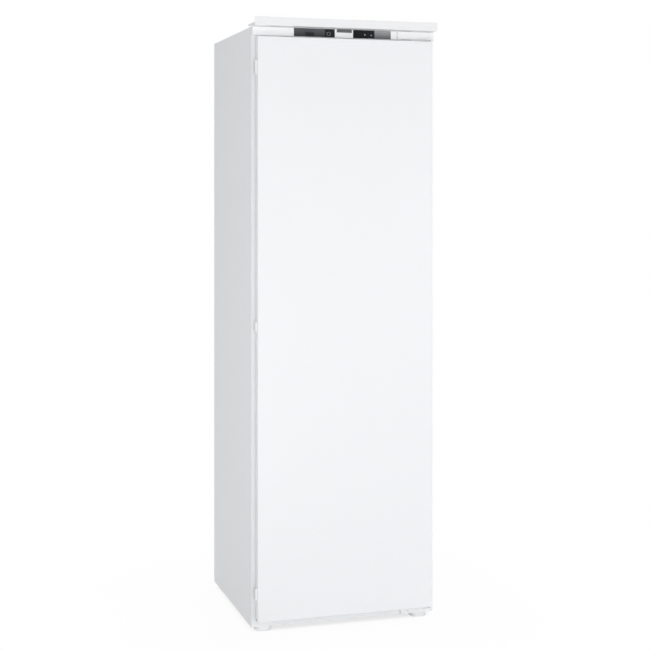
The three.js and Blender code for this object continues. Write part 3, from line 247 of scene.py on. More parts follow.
def soften(piece, width, segments=2, angle=35):
    """Rounds every edge sharper than the angle."""
    settings = {"segments": segments, "limit_method": "ANGLE", "angle_limit": radians(angle)}
    return apply_modifier(piece, "BEVEL", width=width * MM, miter_outer="MITER_ARC", **settings)


def cut(piece, cutter):
    """Takes one closed shape out of another."""
    apply_modifier(piece, "BOOLEAN", operation="DIFFERENCE", object=cutter, solver="EXACT")
    bpy.data.objects.remove(cutter)


def joined(name, pieces):
    """Several objects as one."""
    take(pieces[0])
    for piece in pieces:
        piece.select_set(True)
    bpy.ops.object.join()
    pieces[0].name = name
    return pieces[0]


def copied(piece, name, shift=(0, 0, 0), turn=None):
    """A copy with its own mesh, turned about the origin and then moved."""
    twin = bpy.data.objects.new(name, piece.data.copy())
    bpy.context.scene.collection.objects.link(twin)
    twin.data.transform(Matrix.Translation(at(*shift)) @ (turn or Matrix()))
    return twin


def copies(piece, name, places, turn=None):
    """One object made of a copy at each place; the pattern itself goes."""
    made = [copied(piece, f"{name}_{index}", place, turn) for index, place in enumerate(places, 1)]
    bpy.data.objects.remove(piece)
    return joined(name, made)


def evenly(count, low, high):
    """Places from low to high, both included."""
    return [low + (high - low) * index / (count - 1) for index in range(count)]


def merged_copy(node, name):
    """A CAD node's mesh as a clean copy: corners merged, flat faces made whole."""
    piece = copied(frame["nodes"][node], name)
    take(piece)
    bpy.ops.mesh.customdata_custom_splitnormals_clear()
    with editing(piece, "VERT"):
        bpy.ops.mesh.remove_doubles(threshold=CAD_WELD)
        bpy.ops.mesh.dissolve_limited(angle_limit=FLAT_ANGLE)
    return piece


def dress(piece, slot, nodes=(), material=None, body="cabinet", angle=35):
    """Shades a finished piece, gives it its finish and says what it rides on and stands for."""
    take(piece)
    bpy.ops.object.shade_smooth_by_angle(angle=radians(angle))
    apply_modifier(piece, "WEIGHTED_NORMAL", keep_sharp=True)
    piece.data.materials.clear()
    piece.data.materials.append(material or BY_SLOT[slot])
    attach(piece, body)
    if nodes:
        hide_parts(*nodes)


# Helpers: materials


def cleared_tree(owner):
    """The node tree of a material or of the world, emptied."""
    owner.use_nodes = True
    owner.node_tree.nodes.clear()
    return owner.node_tree


def add_node(tree, kind, inputs=None, **settings):
    """A shader node with its settings, and its inputs set or linked."""
    made = tree.nodes.new(kind)
    for key, value in settings.items():
        setattr(made, key, value)
    for key, value in (inputs or {}).items():
        if isinstance(value, bpy.types.NodeSocket):
            tree.links.new(value, made.inputs[key])
        else:
            made.inputs[key].default_value = value
    return made


def calculate(tree, operation, first, second):
    """One operation on two values."""
    return add_node(tree, "ShaderNodeMath", {0: first, 1: second}, operation=operation).outputs[0]


class Surface:
    """A material under construction: one shader, and textures on the object's own coordinates."""

    def __init__(self, name, colour, roughness, metallic=0.0):
        self.material = bpy.data.materials.new(name)
        self.tree = cleared_tree(self.material)
        self.colour = colour
        self.shader = self.node("ShaderNodeBsdfPrincipled")
        self.node("ShaderNodeOutputMaterial", {"Surface": self.shader.outputs["BSDF"]})
        self.place = self.node("ShaderNodeTexCoord").outputs["Object"]
        self.set("Base Color", (*colour, 1))
        self.set("Roughness", roughness)
        self.set("Metallic", metallic)

    def node(self, kind, inputs=None, **settings):
        """One of the material's nodes."""
        return add_node(self.tree, kind, inputs, **settings)

    def set(self, socket, value):
        """Sets one of the shader's own values."""
        self.shader.inputs[socket].default_value = value

    def drive(self, socket, value):
        """Lets a texture drive one of the shader's values."""
        self.tree.links.new(value, self.shader.inputs[socket])

    def stretched(self, scale):
        """The object's coordinates, stretched per axis."""
        return self.node("ShaderNodeMapping", {"Vector": self.place, "Scale": scale}).outputs[0]

    def noise(self, scale, detail=3, place=None):
        """Cloudy noise, from 0 to 1."""
        inputs = {"Vector": place or self.place, "Scale": scale, "Detail": detail}
        return self.node("ShaderNodeTexNoise", inputs).outputs["Fac"]

    def cells(self, scale, output="Distance"):
        """Cell pattern, as crystals or foam have."""
        inputs = {"Vector": self.place, "Scale": scale}
        return self.node("ShaderNodeTexVoronoi", inputs).outputs[output]

    def ramp(self, value, stops):
        """A value turned into colours, by a list of (position, colour)."""
        made = self.node("ShaderNodeValToRGB", {"Fac": value})
        points = made.color_ramp.elements
        while len(points) < len(stops):
            points.new(0.5)
        for point, (position, colour) in zip(points, stops):
            point.position = position
            point.color = (*colour, 1)
        return made.outputs["Color"]

    def span(self, value, low, high, start=0.0, end=1.0):
        """A value moved from start..end to low..high."""
        inputs = {"Value": value, "From Min": start, "From Max": end, "To Min": low, "To Max": high}
        return self.node("ShaderNodeMapRange", inputs).outputs[0]

    def product(self, first, second):
        """Two values multiplied."""
        return calculate(self.tree, "MULTIPLY", first, second)

    def mottle(self, scale, amount, detail=4):
        """Lets the colour drift a little lighter and darker over the surface."""
        dark = [value * (1 - amount) for value in self.colour]
        light = [min(value * (1 + amount), 1) for value in self.colour]
        drift = self.ramp(self.noise(scale, detail), [(0.3, dark), (0.7, light)])
        self.drive("Base Color", drift)

    def sheen_drift(self, scale, low, high):
        """Lets the gloss vary over the surface."""
        self.drive("Roughness", self.span(self.noise(scale, 2), low, high, 0.3, 0.7))

    def grain(self, height, depth, after=None):
        """A relief from a height value, laid over an earlier relief if there is one."""
        inputs = {"Height": height, "Distance": depth, "Strength": 1.0}
        if after:
            inputs["Normal"] = after
        made = self.node("ShaderNodeBump", inputs).outputs["Normal"]
        self.drive("Normal", made)
        return made


def powder_coat(name, colour):
    """Baked paint on sheet steel: satin, with the fine orange peel of a sprayed coat."""
    surface = Surface(name, colour, 0.4)
    surface.mottle(1200, 0.01, 2)
    surface.sheen_drift(700, 0.36, 0.45)
    waves = surface.grain(surface.noise(40, 2), 0.02 * MM)
    surface.grain(surface.noise(700, 2), 0.012 * MM, waves)
    return surface.material


def moulded_plastic(name, colour, roughness, texture=1400, depth=0.02, drift=0.01):
    """Injection moulded plastic with a fine etched grain."""
    surface = Surface(name, colour, roughness)
    surface.mottle(1000, drift, 2)
    surface.sheen_drift(600, roughness - 0.05, roughness + 0.06)
    surface.grain(surface.noise(texture, 2), depth * MM)
    return surface.material


def formed_liner(name, colour):
    """Thermoformed sheet: glossy, a little wavy where it was drawn over the tool."""
    surface = Surface(name, colour, 0.3)
    surface.mottle(1100, 0.008, 2)
    surface.sheen_drift(600, 0.27, 0.33)
    waves = surface.grain(surface.noise(30, 1), 0.02 * MM)
    surface.grain(surface.noise(1300, 2), 0.002 * MM, waves)
    return surface.material


def galvanised(name, colour):
    """Zinc coated sheet with its frost of crystals."""
    surface = Surface(name, colour, 0.46, 0.75)
    crystals = surface.cells(70, output="Color")
    tone = surface.node("ShaderNodeSeparateColor", {"Color": crystals}).outputs[0]
    dull = [value * 0.86 for value in colour]
    surface.drive("Base Color", surface.ramp(tone, [(0.1, dull), (0.9, colour)]))
    surface.drive("Roughness", surface.span(tone, 0.4, 0.56))
    surface.grain(surface.noise(260, 3), 0.02 * MM)
    return surface.material


def drawn_metal(name, colour, roughness, stretch, tarnish=None):
    """Bare metal with fine lines along one axis and, where it has aged, a tarnish."""
    surface = Surface(name, colour, roughness, 1.0)
    lines = surface.noise(1, 4, surface.stretched(stretch))
    surface.drive("Roughness", surface.span(lines, roughness - 0.08, roughness + 0.12, 0.3, 0.7))
    if tarnish:
        patches = surface.ramp(surface.noise(38, 5), [(0.42, colour), (0.68, tarnish)])
        surface.drive("Base Color", patches)
    else:
        surface.mottle(30, 0.05)
    surface.grain(lines, 0.01 * MM)
    return surface.material


def lacquer(name, colour):
    """Black stoving lacquer, thick and slightly uneven."""
    surface = Surface(name, colour, 0.32)
    surface.mottle(18, 0.2)
    surface.sheen_drift(24, 0.24, 0.46)
    dips = surface.grain(surface.noise(55, 2), 0.12 * MM)
    surface.grain(surface.noise(900, 2), 0.015 * MM, dips)
    surface.set("Coat Weight", 0.35)
    return surface.material


def rigid_foam(name, colour):
    """Cut or free-risen polyurethane foam: matt cells of uneven size."""
    surface = Surface(name, colour, 0.92)
    surface.mottle(12, 0.12, 6)
    bubbles = surface.grain(surface.cells(420), 0.6 * MM)
    surface.grain(surface.noise(45, 4), 1.4 * MM, bubbles)
    return surface.material


def soft_vinyl(name, colour):
    """Gasket vinyl: soft, faintly yellowed in patches."""
    surface = Surface(name, colour, 0.62)
    warm = (colour[0], colour[1] * 0.99, colour[2] * 0.95)
    surface.drive("Base Color", surface.ramp(surface.noise(9, 4), [(0.35, colour), (0.75, warm)]))
    surface.sheen_drift(30, 0.55, 0.7)
    surface.grain(surface.noise(1100, 2), 0.02 * MM)
    return surface.material


def frosted_front(name, colour):
    """Clear polystyrene, frosted on the inside, as drawer fronts have."""
    surface = Surface(name, colour, 0.3)
    surface.mottle(190, 0.012, 2)
    surface.sheen_drift(10, 0.3, 0.4)
    surface.grain(surface.noise(180, 2), 0.006 * MM)
    surface.set("Transmission Weight", 0.3)
    surface.set("IOR", 1.5)
    return surface.material


# The panes' lower and upper edge, how far their colour is darkened or lightened there, and how much
# darker an unlit display shows

PANE_FOOT, PANE_HEAD = 1720.5, 1742.5
SHADE_AT_FOOT, SHADE_AT_HEAD = 0.45, 1.25
FIELD_SHADE = 0.4


def tinted_glass(name, left, right, stops, field=None):
    """A smoked pane: its print changes tone from left to right, and it darkens toward its foot.

    The field is an unlit display, as (left, right, foot, head), that shows darker than the rest.
    """
    surface = Surface(name, stops[0][1], 0.14)
    spread = surface.node("ShaderNodeSeparateXYZ", {"Vector": surface.place}).outputs
    tone = surface.ramp(surface.span(spread["X"], 0.0, 1.0, left * MM, right * MM), stops)
    heights = (PANE_FOOT * MM, PANE_HEAD * MM)
    shade = surface.span(spread["Z"], SHADE_AT_FOOT, SHADE_AT_HEAD, *heights)
    if field:
        inside = 1.0
        for axis, low, high in (("X", *field[:2]), ("Z", *field[2:])):
            for start, end, edge in ((0.0, 1.0, low - 1), (1.0, 0.0, high)):
                fade = surface.span(spread[axis], start, end, edge * MM, (edge + 1) * MM)
                inside = surface.product(inside, fade)
        shade = surface.product(shade, surface.span(inside, 1.0, FIELD_SHADE))
    shown = surface.node("ShaderNodeVectorMath", {0: tone, 1: shade}, operation="MULTIPLY")
    surface.drive("Base Color", shown.outputs[0])
    surface.sheen_drift(20, 0.16, 0.26)
    surface.set("Specular IOR Level", 0.15)
    return surface.material


def key_moulding(name, colour):
    """Matt black moulding, etched so finely that it hardly mirrors."""
    surface = Surface(name, colour, 0.5)
    surface.mottle(900, 0.15, 2)
    surface.sheen_drift(500, 0.45, 0.56)
    surface.grain(surface.noise(1500, 2), 0.01 * MM)
    surface.set("Specular IOR Level", 0.12)
    return surface.material


def circuit_board(name, colour):
    """Green solder mask over copper tracks."""
    surface = Surface(name, colour, 0.35)
    inputs = {"Vector": surface.place, "Scale": 160, "Mortar Size": 0.06}
    bricks = surface.node("ShaderNodeTexBrick", inputs).outputs["Fac"]
    track = [value * 1.6 for value in colour]
    surface.drive("Base Color", surface.ramp(bricks, [(0.4, colour), (0.6, track)]))
    surface.sheen_drift(40, 0.28, 0.42)
    surface.grain(bricks, 0.03 * MM)
    return surface.material


TRIM_WHITE = moulded_plastic("trim moulding", (0.845, 0.85, 0.857), 0.46)
# The couplers' white is painted darker than the other white mouldings: painted shade that tones
# down the light they catch
COUPLER_SHADED_WHITE = moulded_plastic("coupler moulding, darkened as painted shade", (0.8, 0.805, 0.81), 0.5)
LINER_PLASTIC = formed_liner("white liner", (0.85, 0.86, 0.87))
# The upper hinge's plating is dull, and its colour is painted darker: painted shade for where it
# sits in the gap under the hinge cover
DULL_SHADED_ZINC = drawn_metal("dull plated steel, darkened as painted shade", (0.5, 0.51, 0.52), 0.55, (90, 90, 400))
BLACK_PLASTIC = moulded_plastic("black moulding", (0.018, 0.019, 0.021), 0.36, 1200, 0.03, 0.15)

LEFT_PRINT = [
    (0.0, (0.085, 0.086, 0.092)),
    (0.35, (0.07, 0.07, 0.077)),
    (0.72, (0.08, 0.088, 0.09)),
    (0.752, (0.082, 0.09, 0.09)),
    (0.762, (0.012, 0.0125, 0.014)),
    (1.0, (0.014, 0.015, 0.017)),
]
RIGHT_PRINT = [
    (0.0, (0.005, 0.0055, 0.007)),
    (0.56, (0.006, 0.0065, 0.009)),
    (0.57, (0.22, 0.225, 0.26)),
    (0.585, (0.27, 0.27, 0.29)),
    (0.62, (0.25, 0.258, 0.262)),
    (1.0, (0.26, 0.27, 0.275)),
]
UNLIT_FIELD = (-119, -94, 1722, 1731.5)
LEFT_PANE = tinted_glass("left display pane", -154, -30, LEFT_PRINT, UNLIT_FIELD)
RIGHT_PANE = tinted_glass("right display pane", 26, 143, RIGHT_PRINT)
PLATE_GREY = drawn_metal("bare centre plate", (0.1, 0.1, 0.105), 0.4, (30, 30, 900))
KEY_BLACK = key_moulding("key cap", (0.007, 0.0075, 0.009))
SIGN_GREY = moulded_plastic("sign print", (0.27, 0.28, 0.3), 0.5)
TUB_PLASTIC = moulded_plastic("drawer tub", (0.84, 0.86, 0.875), 0.36, 500, 0.03)
FAN_PLASTIC = moulded_plastic("fan moulding", (0.045, 0.047, 0.05), 0.38, 900, 0.03, 0.1)
CABLE_BLACK = moulded_plastic("cable sheath", (0.02, 0.02, 0.021), 0.55, 500, 0.05, 0.1)

TARNISH = (0.42, 0.2, 0.12)
BY_SLOT = {
    "white_steel": powder_coat("white powder coat", (0.84, 0.85, 0.865)),
    "grey_steel": galvanised("zinc coated sheet", (0.62, 0.64, 0.66)),
    "zinc_steel": drawn_metal("plated steel", (0.66, 0.68, 0.7), 0.3, (60, 60, 900)),
    "white_plastic": moulded_plastic("white moulding", (0.835, 0.84, 0.85), 0.42),
    "clear_plastic": frosted_front("frosted front", (0.8, 0.87, 0.92)),
    "foam": rigid_foam("rigid foam", (0.8, 0.72, 0.46)),
    "black_plastic": BLACK_PLASTIC,
    "display_glass": BLACK_PLASTIC,
    "gasket_rubber": soft_vinyl("gasket vinyl", (0.78, 0.785, 0.775)),
    "black_steel": lacquer("black lacquer", (0.016, 0.016, 0.018)),
    "copper": drawn_metal("copper tube", (0.78, 0.42, 0.27), 0.28, (500, 500, 40), TARNISH),
    "aluminium": drawn_metal("aluminium", (0.8, 0.81, 0.82), 0.3, (40, 700, 60)),
    "board": circuit_board("circuit board", (0.03, 0.16, 0.07)),
    "grey_plastic": moulded_plastic("grey moulding", (0.3, 0.31, 0.32), 0.5),
}


def finish_frame_nodes():
    """Gives every CAD node the finish of its material slot."""
    for subpart in frame["record"]["subparts"]:
        node = frame["nodes"][subpart["node"]]
        node.data.materials.clear()
        node.data.materials.append(BY_SLOT[subpart["material_slot"]])


# Sheets, mouldings and fittings whose solid has the right form: its edges get their real roundness

COUPLERS = [f"slide_bracket_{place}" for place in ("top", "middle", "bottom")]
EDGE_ROUNDING = {
    "outer_cabinet": 0.8,
    "bottom_panel": 0.4,
    "rear_panel": 0.4,
    "base_plate": 0.4,
    "lower_hinge": 0.6,
    "upper_hinge": 0.6,
    "hinge_cover": 0.8,
    "display_window_left": 0.2,
    "display_window_right": 0.2,
    "centre_plate": 0.3,
    "front_foot_left": 1.0,
    "front_foot_right": 1.0,
    "rear_foot_left": 0.8,
    "rear_foot_right": 0.8,
    "inner_liner": 0.9,
    "duct_cover": 0.7,
    "drip_tray": 0.6,
    "drain_tube": 0.4,
    "start_relay_cover": 2.0,
    "mains_inlet": 0.5,
    "door_cap_bottom": 0.5,
    "door_cap_top": 0.5,
    "door_liner": 1.0,
    **dict.fromkeys(COUPLERS, 0.5),
}
OWN_FINISH = {
    "inner_liner": LINER_PLASTIC,
    "door_liner": LINER_PLASTIC,
    "display_window_left": LEFT_PANE,
    "display_window_right": RIGHT_PANE,
    "centre_plate": PLATE_GREY,
    "upper_hinge": DULL_SHADED_ZINC,
    **dict.fromkeys(COUPLERS, COUPLER_SHADED_WHITE),
}


def body_of(node):
    """The body that a CAD node rides on."""
    bodies = frame["record"]["behaviour"]["bodies"]
    return next(body for body, nodes in bodies.items() if node in nodes)


def slot_of(node):
    """The material slot that the record gives a CAD node."""
    subparts = frame["record"]["subparts"]
    return next(subpart["material_slot"] for subpart in subparts if subpart["node"] == node)


def box_of(node):
    """The low and the high corner of a CAD node, in millimetres."""
    return [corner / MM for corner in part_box(node)]


def finish_piece(node, rounding, material=None):
    """One solid as a finished piece: merged, with its edges rounded."""
    piece = soften(merged_copy(node, f"{node}_finished"), rounding)
    dress(piece, slot_of(node), [node], material or OWN_FINISH.get(node), body_of(node))


# Fasteners: one pan head screw with a cross recess, copied to each place

SCREW_RADIUS, SCREW_RISE = 3.6, 2.2
SCREW_SKIRT, SCREW_SHOULDER = 0.5, 1.4
RECESS_REACH, RECESS_HALF_WIDTH = SCREW_RADIUS * 0.6, 0.5


def pan_head():
    """A screw head on the origin that looks along -Y."""
    steps = [
        (SCREW_RADIUS, 0),
        (SCREW_RADIUS, -SCREW_SKIRT),
        (SCREW_RADIUS * 0.9, -SCREW_SHOULDER),
        (SCREW_RADIUS * 0.5, -SCREW_RISE),
    ]
    head = turned("screw", "y", steps)
    arm = (-RECESS_REACH, RECESS_REACH)
    width = (-RECESS_HALF_WIDTH, RECESS_HALF_WIDTH)
    depth = (-SCREW_RISE - 1, -SCREW_RISE * 0.45)
    cut(head, block("recess", arm, depth, width))
    cut(head, block("recess", width, depth, arm))
    return soften(head, 0.12, 1, 40)


FACE_LEFT = Matrix.Rotation(-pi / 2, 4, "Z")
FACE_BACK = Matrix.Rotation(pi, 4, "Z")
FACE_UP = Matrix.Rotation(-pi / 2, 4, "X")


def add_screws():
    """Screws of the hinges, couplers, rear panel, tray and trim."""
    hinge_face, rear_face = -234.9, 236.6
    coupler_face, coupler_middle = -269.8, -247.4
    tray_top, trim_top, trim_middle = 16.1, 1754.2, -205.5
    coupler_levels = (1612, 1638, 875, 890, 108, 127)
    rear = [(x, rear_face, z) for x in (-271, 271) for z in evenly(7, 260, 1700)]
    rear += [(x, rear_face, 1737) for x in (-180, -60, 60, 180)]
    couplers = [(coupler_face, coupler_middle, z) for z in coupler_levels]
    tray = [(x, y, tray_top) for x in (-262, 262) for y in (90, 225)]
    sets = {
        "lower_hinge_screws": ("cabinet", None, [(x, hinge_face, 26) for x in (198, 250)]),
        "coupler_screws": ("door", FACE_LEFT, couplers),
        "rear_screws": ("cabinet", FACE_BACK, rear),
        "tray_screws": ("cabinet", FACE_UP, tray),
        "trim_screws": ("cabinet", FACE_UP, [(x, trim_middle, trim_top) for x in (-200, 200)]),
    }
    for name, (body, turn, places) in sets.items():
        dress(copies(pan_head(), name, places, turn), "zinc_steel", body=body)


# Control strip: the keys with the signs printed on them, and the trim above

KEY_COLLAR = 0.6
KEY_COLLAR_FRONT, KEY_COLLAR_BACK = -239.2, -238.2
SIGN_THICKNESS = 0.12
RING_RADIUS, RING_WIRE, RING_GAP_RISE, RING_FLATNESS = 5.3, 0.55, 4.2, 0.12
BAR_HALF_WIDTH, BAR_FOOT, BAR_HEAD = 0.5, 2.2, 6.1
ARROW_RADIUS, ARROW_SHIFT, ARROW_ROUND = 3.5, 0.5, 0.5
FASCIA_SEAM, FASCIA_END_FROM = 1, 163
WEB_HALF, WEB_DEEP, WEB_TALL = 275.8, (-273, -242.1), (1744.9, 1746)
WEB_TONGUE, WEB_TONGUE_SHARE = 0.1, 0.4


def add_key(node, sign):
    """A round key with a domed face, and its sign on it."""
    low, high = box_of(node)
    centre = ((low.x + high.x) / 2, 0, (low.z + high.z) / 2)
    face = low.y
    radius = (high.x - low.x) / 2 - KEY_COLLAR
    steps = [
        (radius - 0.9, face),
        (radius - 0.35, face + 0.12),
        (radius, face + 0.6),
        (radius, KEY_COLLAR_FRONT),
        (radius + KEY_COLLAR, KEY_COLLAR_FRONT),
        (radius + KEY_COLLAR, KEY_COLLAR_BACK),
        (radius, KEY_COLLAR_BACK),
        (radius / 2, high.y),
    ]
    key = turned(f"{node}_cap", "y", steps, centre, sides=48)
    dress(key, "black_plastic", [node], KEY_BLACK, node)
    mark = sign(f"{node}_sign", centre[0], face, centre[2])
    dress(mark, "grey_plastic", material=SIGN_GREY, body=node)


def ring_and_bar(name, x, y, z):
    """The common on and off sign: an open ring with a bar in its gap."""
    bpy.ops.mesh.primitive_torus_add(
        major_segments=48,
        minor_segments=8,
        major_radius=RING_RADIUS * MM,
        minor_radius=RING_WIRE * MM,
        location=at(x, y, z),
        rotation=(pi / 2, 0, 0),
    )
    ring = named("ring")
    with editing(ring):
        gap_foot = (z + RING_GAP_RISE) * MM
        pick(ring, "FACE", lambda face: face.calc_center_median().z > gap_foot)
        bpy.ops.mesh.delete(type="FACE")
        bpy.ops.mesh.select_all(action="SELECT")
        bpy.ops.mesh.select_mode(type="EDGE")
        bpy.ops.mesh.region_to_loop()
        bpy.ops.mesh.edge_face_add()
        bpy.ops.mesh.select_all(action="SELECT")
        bpy.ops.transform.resize(value=(1, RING_FLATNESS, 1), center_override=at(x, y, z))
        bpy.ops.mesh.normals_make_consistent(inside=False)
    wide = (x - BAR_HALF_WIDTH, x + BAR_HALF_WIDTH)
    deep = (y - SIGN_THICKNESS / 2, y + SIGN_THICKNESS / 2)
    bar = block("bar", wide, deep, (z + BAR_FOOT, z + BAR_HEAD))
    bevel(bar, 0.05, 1)
    return joined(name, [ring, bar])


def arrow(up):
    """A sign maker for an arrow head that points up or down."""

    def make(name, x, y, z):
        bpy.ops.mesh.primitive_cylinder_add(
            vertices=3,
            radius=ARROW_RADIUS * MM,
            depth=SIGN_THICKNESS * MM,
            location=at(x, y, z - ARROW_SHIFT if up else z + ARROW_SHIFT),
            rotation=(pi / 2, 0 if up else pi, 0),
        )
        head = named(name)
        bevel(head, ARROW_ROUND, 3, along(Y))
        return head

    return make


def add_keys():
    """The three keys of the control strip."""
    add_key("power_key", ring_and_bar)
    add_key("cooler_key", arrow(False))
    add_key("warmer_key", arrow(True))


def add_fascia():
    """The control strip's moulding, which ends a seam's width short of the hinge cover."""
    piece = merged_copy("top_fascia", "top_fascia_finished")
    with editing(piece, "VERT"):
        pick(piece, "VERT", lambda point: point.co.x > FASCIA_END_FROM * MM)
        bpy.ops.transform.translate(value=at(-FASCIA_SEAM, 0, 0))
    soften(piece, 0.8)
    dress(piece, "white_plastic", ["top_fascia"])


def add_trim():
    """The trim over the door, closed below by a thin web that narrows at its rear edge."""
    trim = soften(merged_copy("top_trim", "trim"), 0.5, 2, 50)
    web = block("web", (-WEB_HALF, WEB_HALF), WEB_DEEP, WEB_TALL)
    with editing(web):
        pick(web, "FACE", facing(Y))
        extrude(at(0, WEB_TONGUE, 0))
        bpy.ops.transform.resize(value=(1, 1, WEB_TONGUE_SHARE))
    soften(web, 0.3, 2, 50)
    whole = joined("top_trim_finished", [trim, web])
    dress(whole, "white_plastic", ["top_trim"], TRIM_WHITE)


# Door: folded skin, gasket bellows, and a black disc painted as the shade of a side hole

FOLD_RADIUS, CORNER_REACH = 2.0, 0.05
GASKET_WIDTH = 16
GASKET_HALF = [
    (2.2, -236.9), (4.2, -236.4), (5.6, -235.8), (3.4, -235.2), (4.6, -234.5),
    (1.0, -234.3), (0.3, -233.9), (0.0, -233.2), (0.0, -232.4), (0.5, -231.85),
]
HOLE_SHADE_PLACE = (0, -252, 42.5)


def add_door_skin():
    """The folded sheet of the door, with the round of its two long front folds."""
    piece = merged_copy("door_skin", "door_skin_finished")
    low, high = box_of("door_skin")

    def front_fold(edge):
        place = edge.verts[0].co / MM
        on_front = place.y < low.y + CORNER_REACH
        at_side = abs(place.x) > high.x - CORNER_REACH
        return along(Z)(edge) and on_front and at_side

    bevel(piece, FOLD_RADIUS, 5, front_fold)
    soften(piece, 0.3)
    dress(piece, "white_steel", ["door_skin"], body="door")


def add_door_pieces():
    """The magnetic gasket with its bellows, and a black disc low in the door's left side: painted
    shade for a coupling hole.
    """
    mirrored = [(GASKET_WIDTH - inset, place) for inset, place in reversed(GASKET_HALF)]
    low, high = box_of("door_gasket")
    tall = (low.z, high.z)
    gasket = swept_frame("door_gasket_bellows", high.x, tall, GASKET_HALF + mirrored)
    dress(gasket, "gasket_rubber", ["door_gasket"], body="door", angle=50)
    # A black disc on the door's side that paints the shade inside a coupling hole
    steps = [(2.8, -266.9), (2.8, -267.15), (2.1, -267.4), (0.8, -267.45)]
    plug = turned("door_side_hole_shade", "x", steps, HOLE_SHADE_PLACE)
    dress(plug, "black_plastic", body="door")


# Drawers: tubs and clear fronts with flutes

DRAWER_COUNT = 7
FLUTE_HALF, FLUTE_FRONT = 188, -184.9
FLUTE_COUNT, LOWEST_FLUTE, HIGHEST_FLUTE = 5, 52, 120


def add_drawers():
    """The drawers, each a tub and a front with a row of flutes."""
    taper = FLUTE_HALF - 2
    steps = [(0.7, -FLUTE_HALF), (1.3, -taper), (1.3, taper), (0.7, FLUTE_HALF)]
    flute = turned("flute", "x", steps, sides=12)
    for number in range(1, DRAWER_COUNT + 1):
        finish_piece(f"drawer_tub_{number}", 0.8, TUB_PLASTIC)
        front = f"drawer_front_{number}"
        foot = box_of(front)[0].z
        pane = soften(merged_copy(front, "pane"), 0.45)
        levels = evenly(FLUTE_COUNT, foot + LOWEST_FLUTE, foot + HIGHEST_FLUTE)
        lines = [copied(flute, "line", (0, FLUTE_FRONT, z)) for z in levels]
        whole = joined(f"{front}_finished", [pane, *lines])
        dress(whole, "clear_plastic", [front])
    bpy.data.objects.remove(flute)


# Cold side: coil with its fins, heater, fan and its motor

COIL_Y, ROW_PITCH = 153, 14
COIL_TUBE, COIL_BEND = 4, 14
PASS_COUNT, LOWEST_PASS, PASS_PITCH, PASS_REACH = 4, 334.6, 44, 194
SUCTION_X, COIL_INLET = -10, 305.8
FIN_COUNT, FIN_REACH, FIN_THICKNESS, FIN_WAVE = 60, 177, 0.4, 0.7
FIN_FRONT, FIN_DEPTH, FIN_TALL = 128.2, 49.8, (318.8, 482.4)
END_PLATE_X, END_PLATE_HALF = 181, 0.6
END_PLATE_DEEP, END_PLATE_TALL = (128.1, 178.1), (318.7, 482.5)
HEATER_NEAR, HEATER_FAR, HEATER_LEVELS = -36, -164, (294.3, 314.3)

# Fan: chords and camber in millimetres, pitches in half turns, the tip's start in spans

FAN_Y, FAN_Z = 140, 640
BLADE_COUNT, BLADE_ROOT, BLADE_TIP, BLADE_THICKNESS = 5, 15, 52, 1.5
ROOT_CHORD, CHORD_GAIN, BLADE_CAMBER = 20, 14, 1.6
ROOT_PITCH, PITCH_LOSS = 0.23, 0.1
TIP_FROM, TIP_NARROWING = 0.72, 0.78
HUB_STEPS = [
    (9, 130), (13, 130.4), (15.8, 131.8), (17, 134.2), (17, 150), (3, 150), (2, 150), (2, 155),
]
MOTOR_STEPS = [
    (5, 155.4), (20, 155.4), (24.6, 156.6), (26, 159.4), (26, 164.5), (25, 165),
    (25, 167), (26, 167.5), (26, 174), (33, 174.2), (34, 175), (34, 178.1),
]
NUT_CIRCLE = 29.8


def coil_corners(y):
    """A serpentine from the suction pipe's height through all the passes."""
    corners = [(SUCTION_X, y, COIL_INLET), (SUCTION_X, y, LOWEST_PASS)]
    for number in range(PASS_COUNT):
        side = -PASS_REACH if number % 2 else PASS_REACH
        corners += [(side, y, LOWEST_PASS + level * PASS_PITCH) for level in (number, number + 1)]
    return corners[:-1]


def add_evaporator():
    """Two rows of tube through a pack of thin wavy fins between two end plates."""
    front_row = pipe("front row", COIL_TUBE, coil_corners(COIL_Y), COIL_BEND)
    rear_row = pipe("rear row", COIL_TUBE, coil_corners(COIL_Y + ROW_PITCH)[2:], COIL_BEND)
    wide = (-FIN_THICKNESS / 2, FIN_THICKNESS / 2)
    fin = block("fin", wide, (FIN_FRONT, FIN_FRONT + FIN_DEPTH), FIN_TALL)
    with editing(fin):
        for share in (0.25, 0.5, 0.75):
            bpy.ops.mesh.select_all(action="SELECT")
            bpy.ops.mesh.bisect(plane_co=at(0, FIN_FRONT + FIN_DEPTH * share, 0), plane_no=Y)
    with editing(fin, "VERT"):
        middle, reach = FIN_FRONT + FIN_DEPTH / 2, FIN_DEPTH * 0.3
        pick(fin, "VERT", lambda point: abs(point.co.y - middle * MM) < reach * MM)
        bpy.ops.transform.translate(value=at(FIN_WAVE, 0, 0))
    fins = copies(fin, "fins", [(x, 0, 0) for x in evenly(FIN_COUNT, -FIN_REACH, FIN_REACH)])
    wide = (-END_PLATE_HALF, END_PLATE_HALF)
    plate = block("plate", wide, END_PLATE_DEEP, END_PLATE_TALL)
    bevel(plate, 6, 4, along(X))
    soften(plate, 0.2, 1)
    plates = copies(plate, "plates", [(-END_PLATE_X, 0, 0), (END_PLATE_X, 0, 0)])
    coil = joined("evaporator_coil", [front_row, rear_row, fins, plates])
    dress(coil, "aluminium", ["evaporator"])


def add_heater():
    """The hairpin heater under the coil, with rubber ends."""
    lower, upper = HEATER_LEVELS
    route = [(HEATER_NEAR, lower), (HEATER_FAR, lower), (HEATER_FAR, upper), (HEATER_NEAR, upper)]
    rod = pipe("defrost_heater_rod", 3.3, [(x, COIL_Y, z) for x, z in route], bend=9)
    dress(rod, "zinc_steel", ["defrost_heater"])
    steps = [(2.6, -64), (3.9, -63), (3.9, -38), (3.2, -36.2)]
    end = turned("end", "x", steps, (0, COIL_Y, 0))
    ends = copies(end, "heater_ends", [(0, 0, z) for z in HEATER_LEVELS])
    dress(ends, "black_plastic")


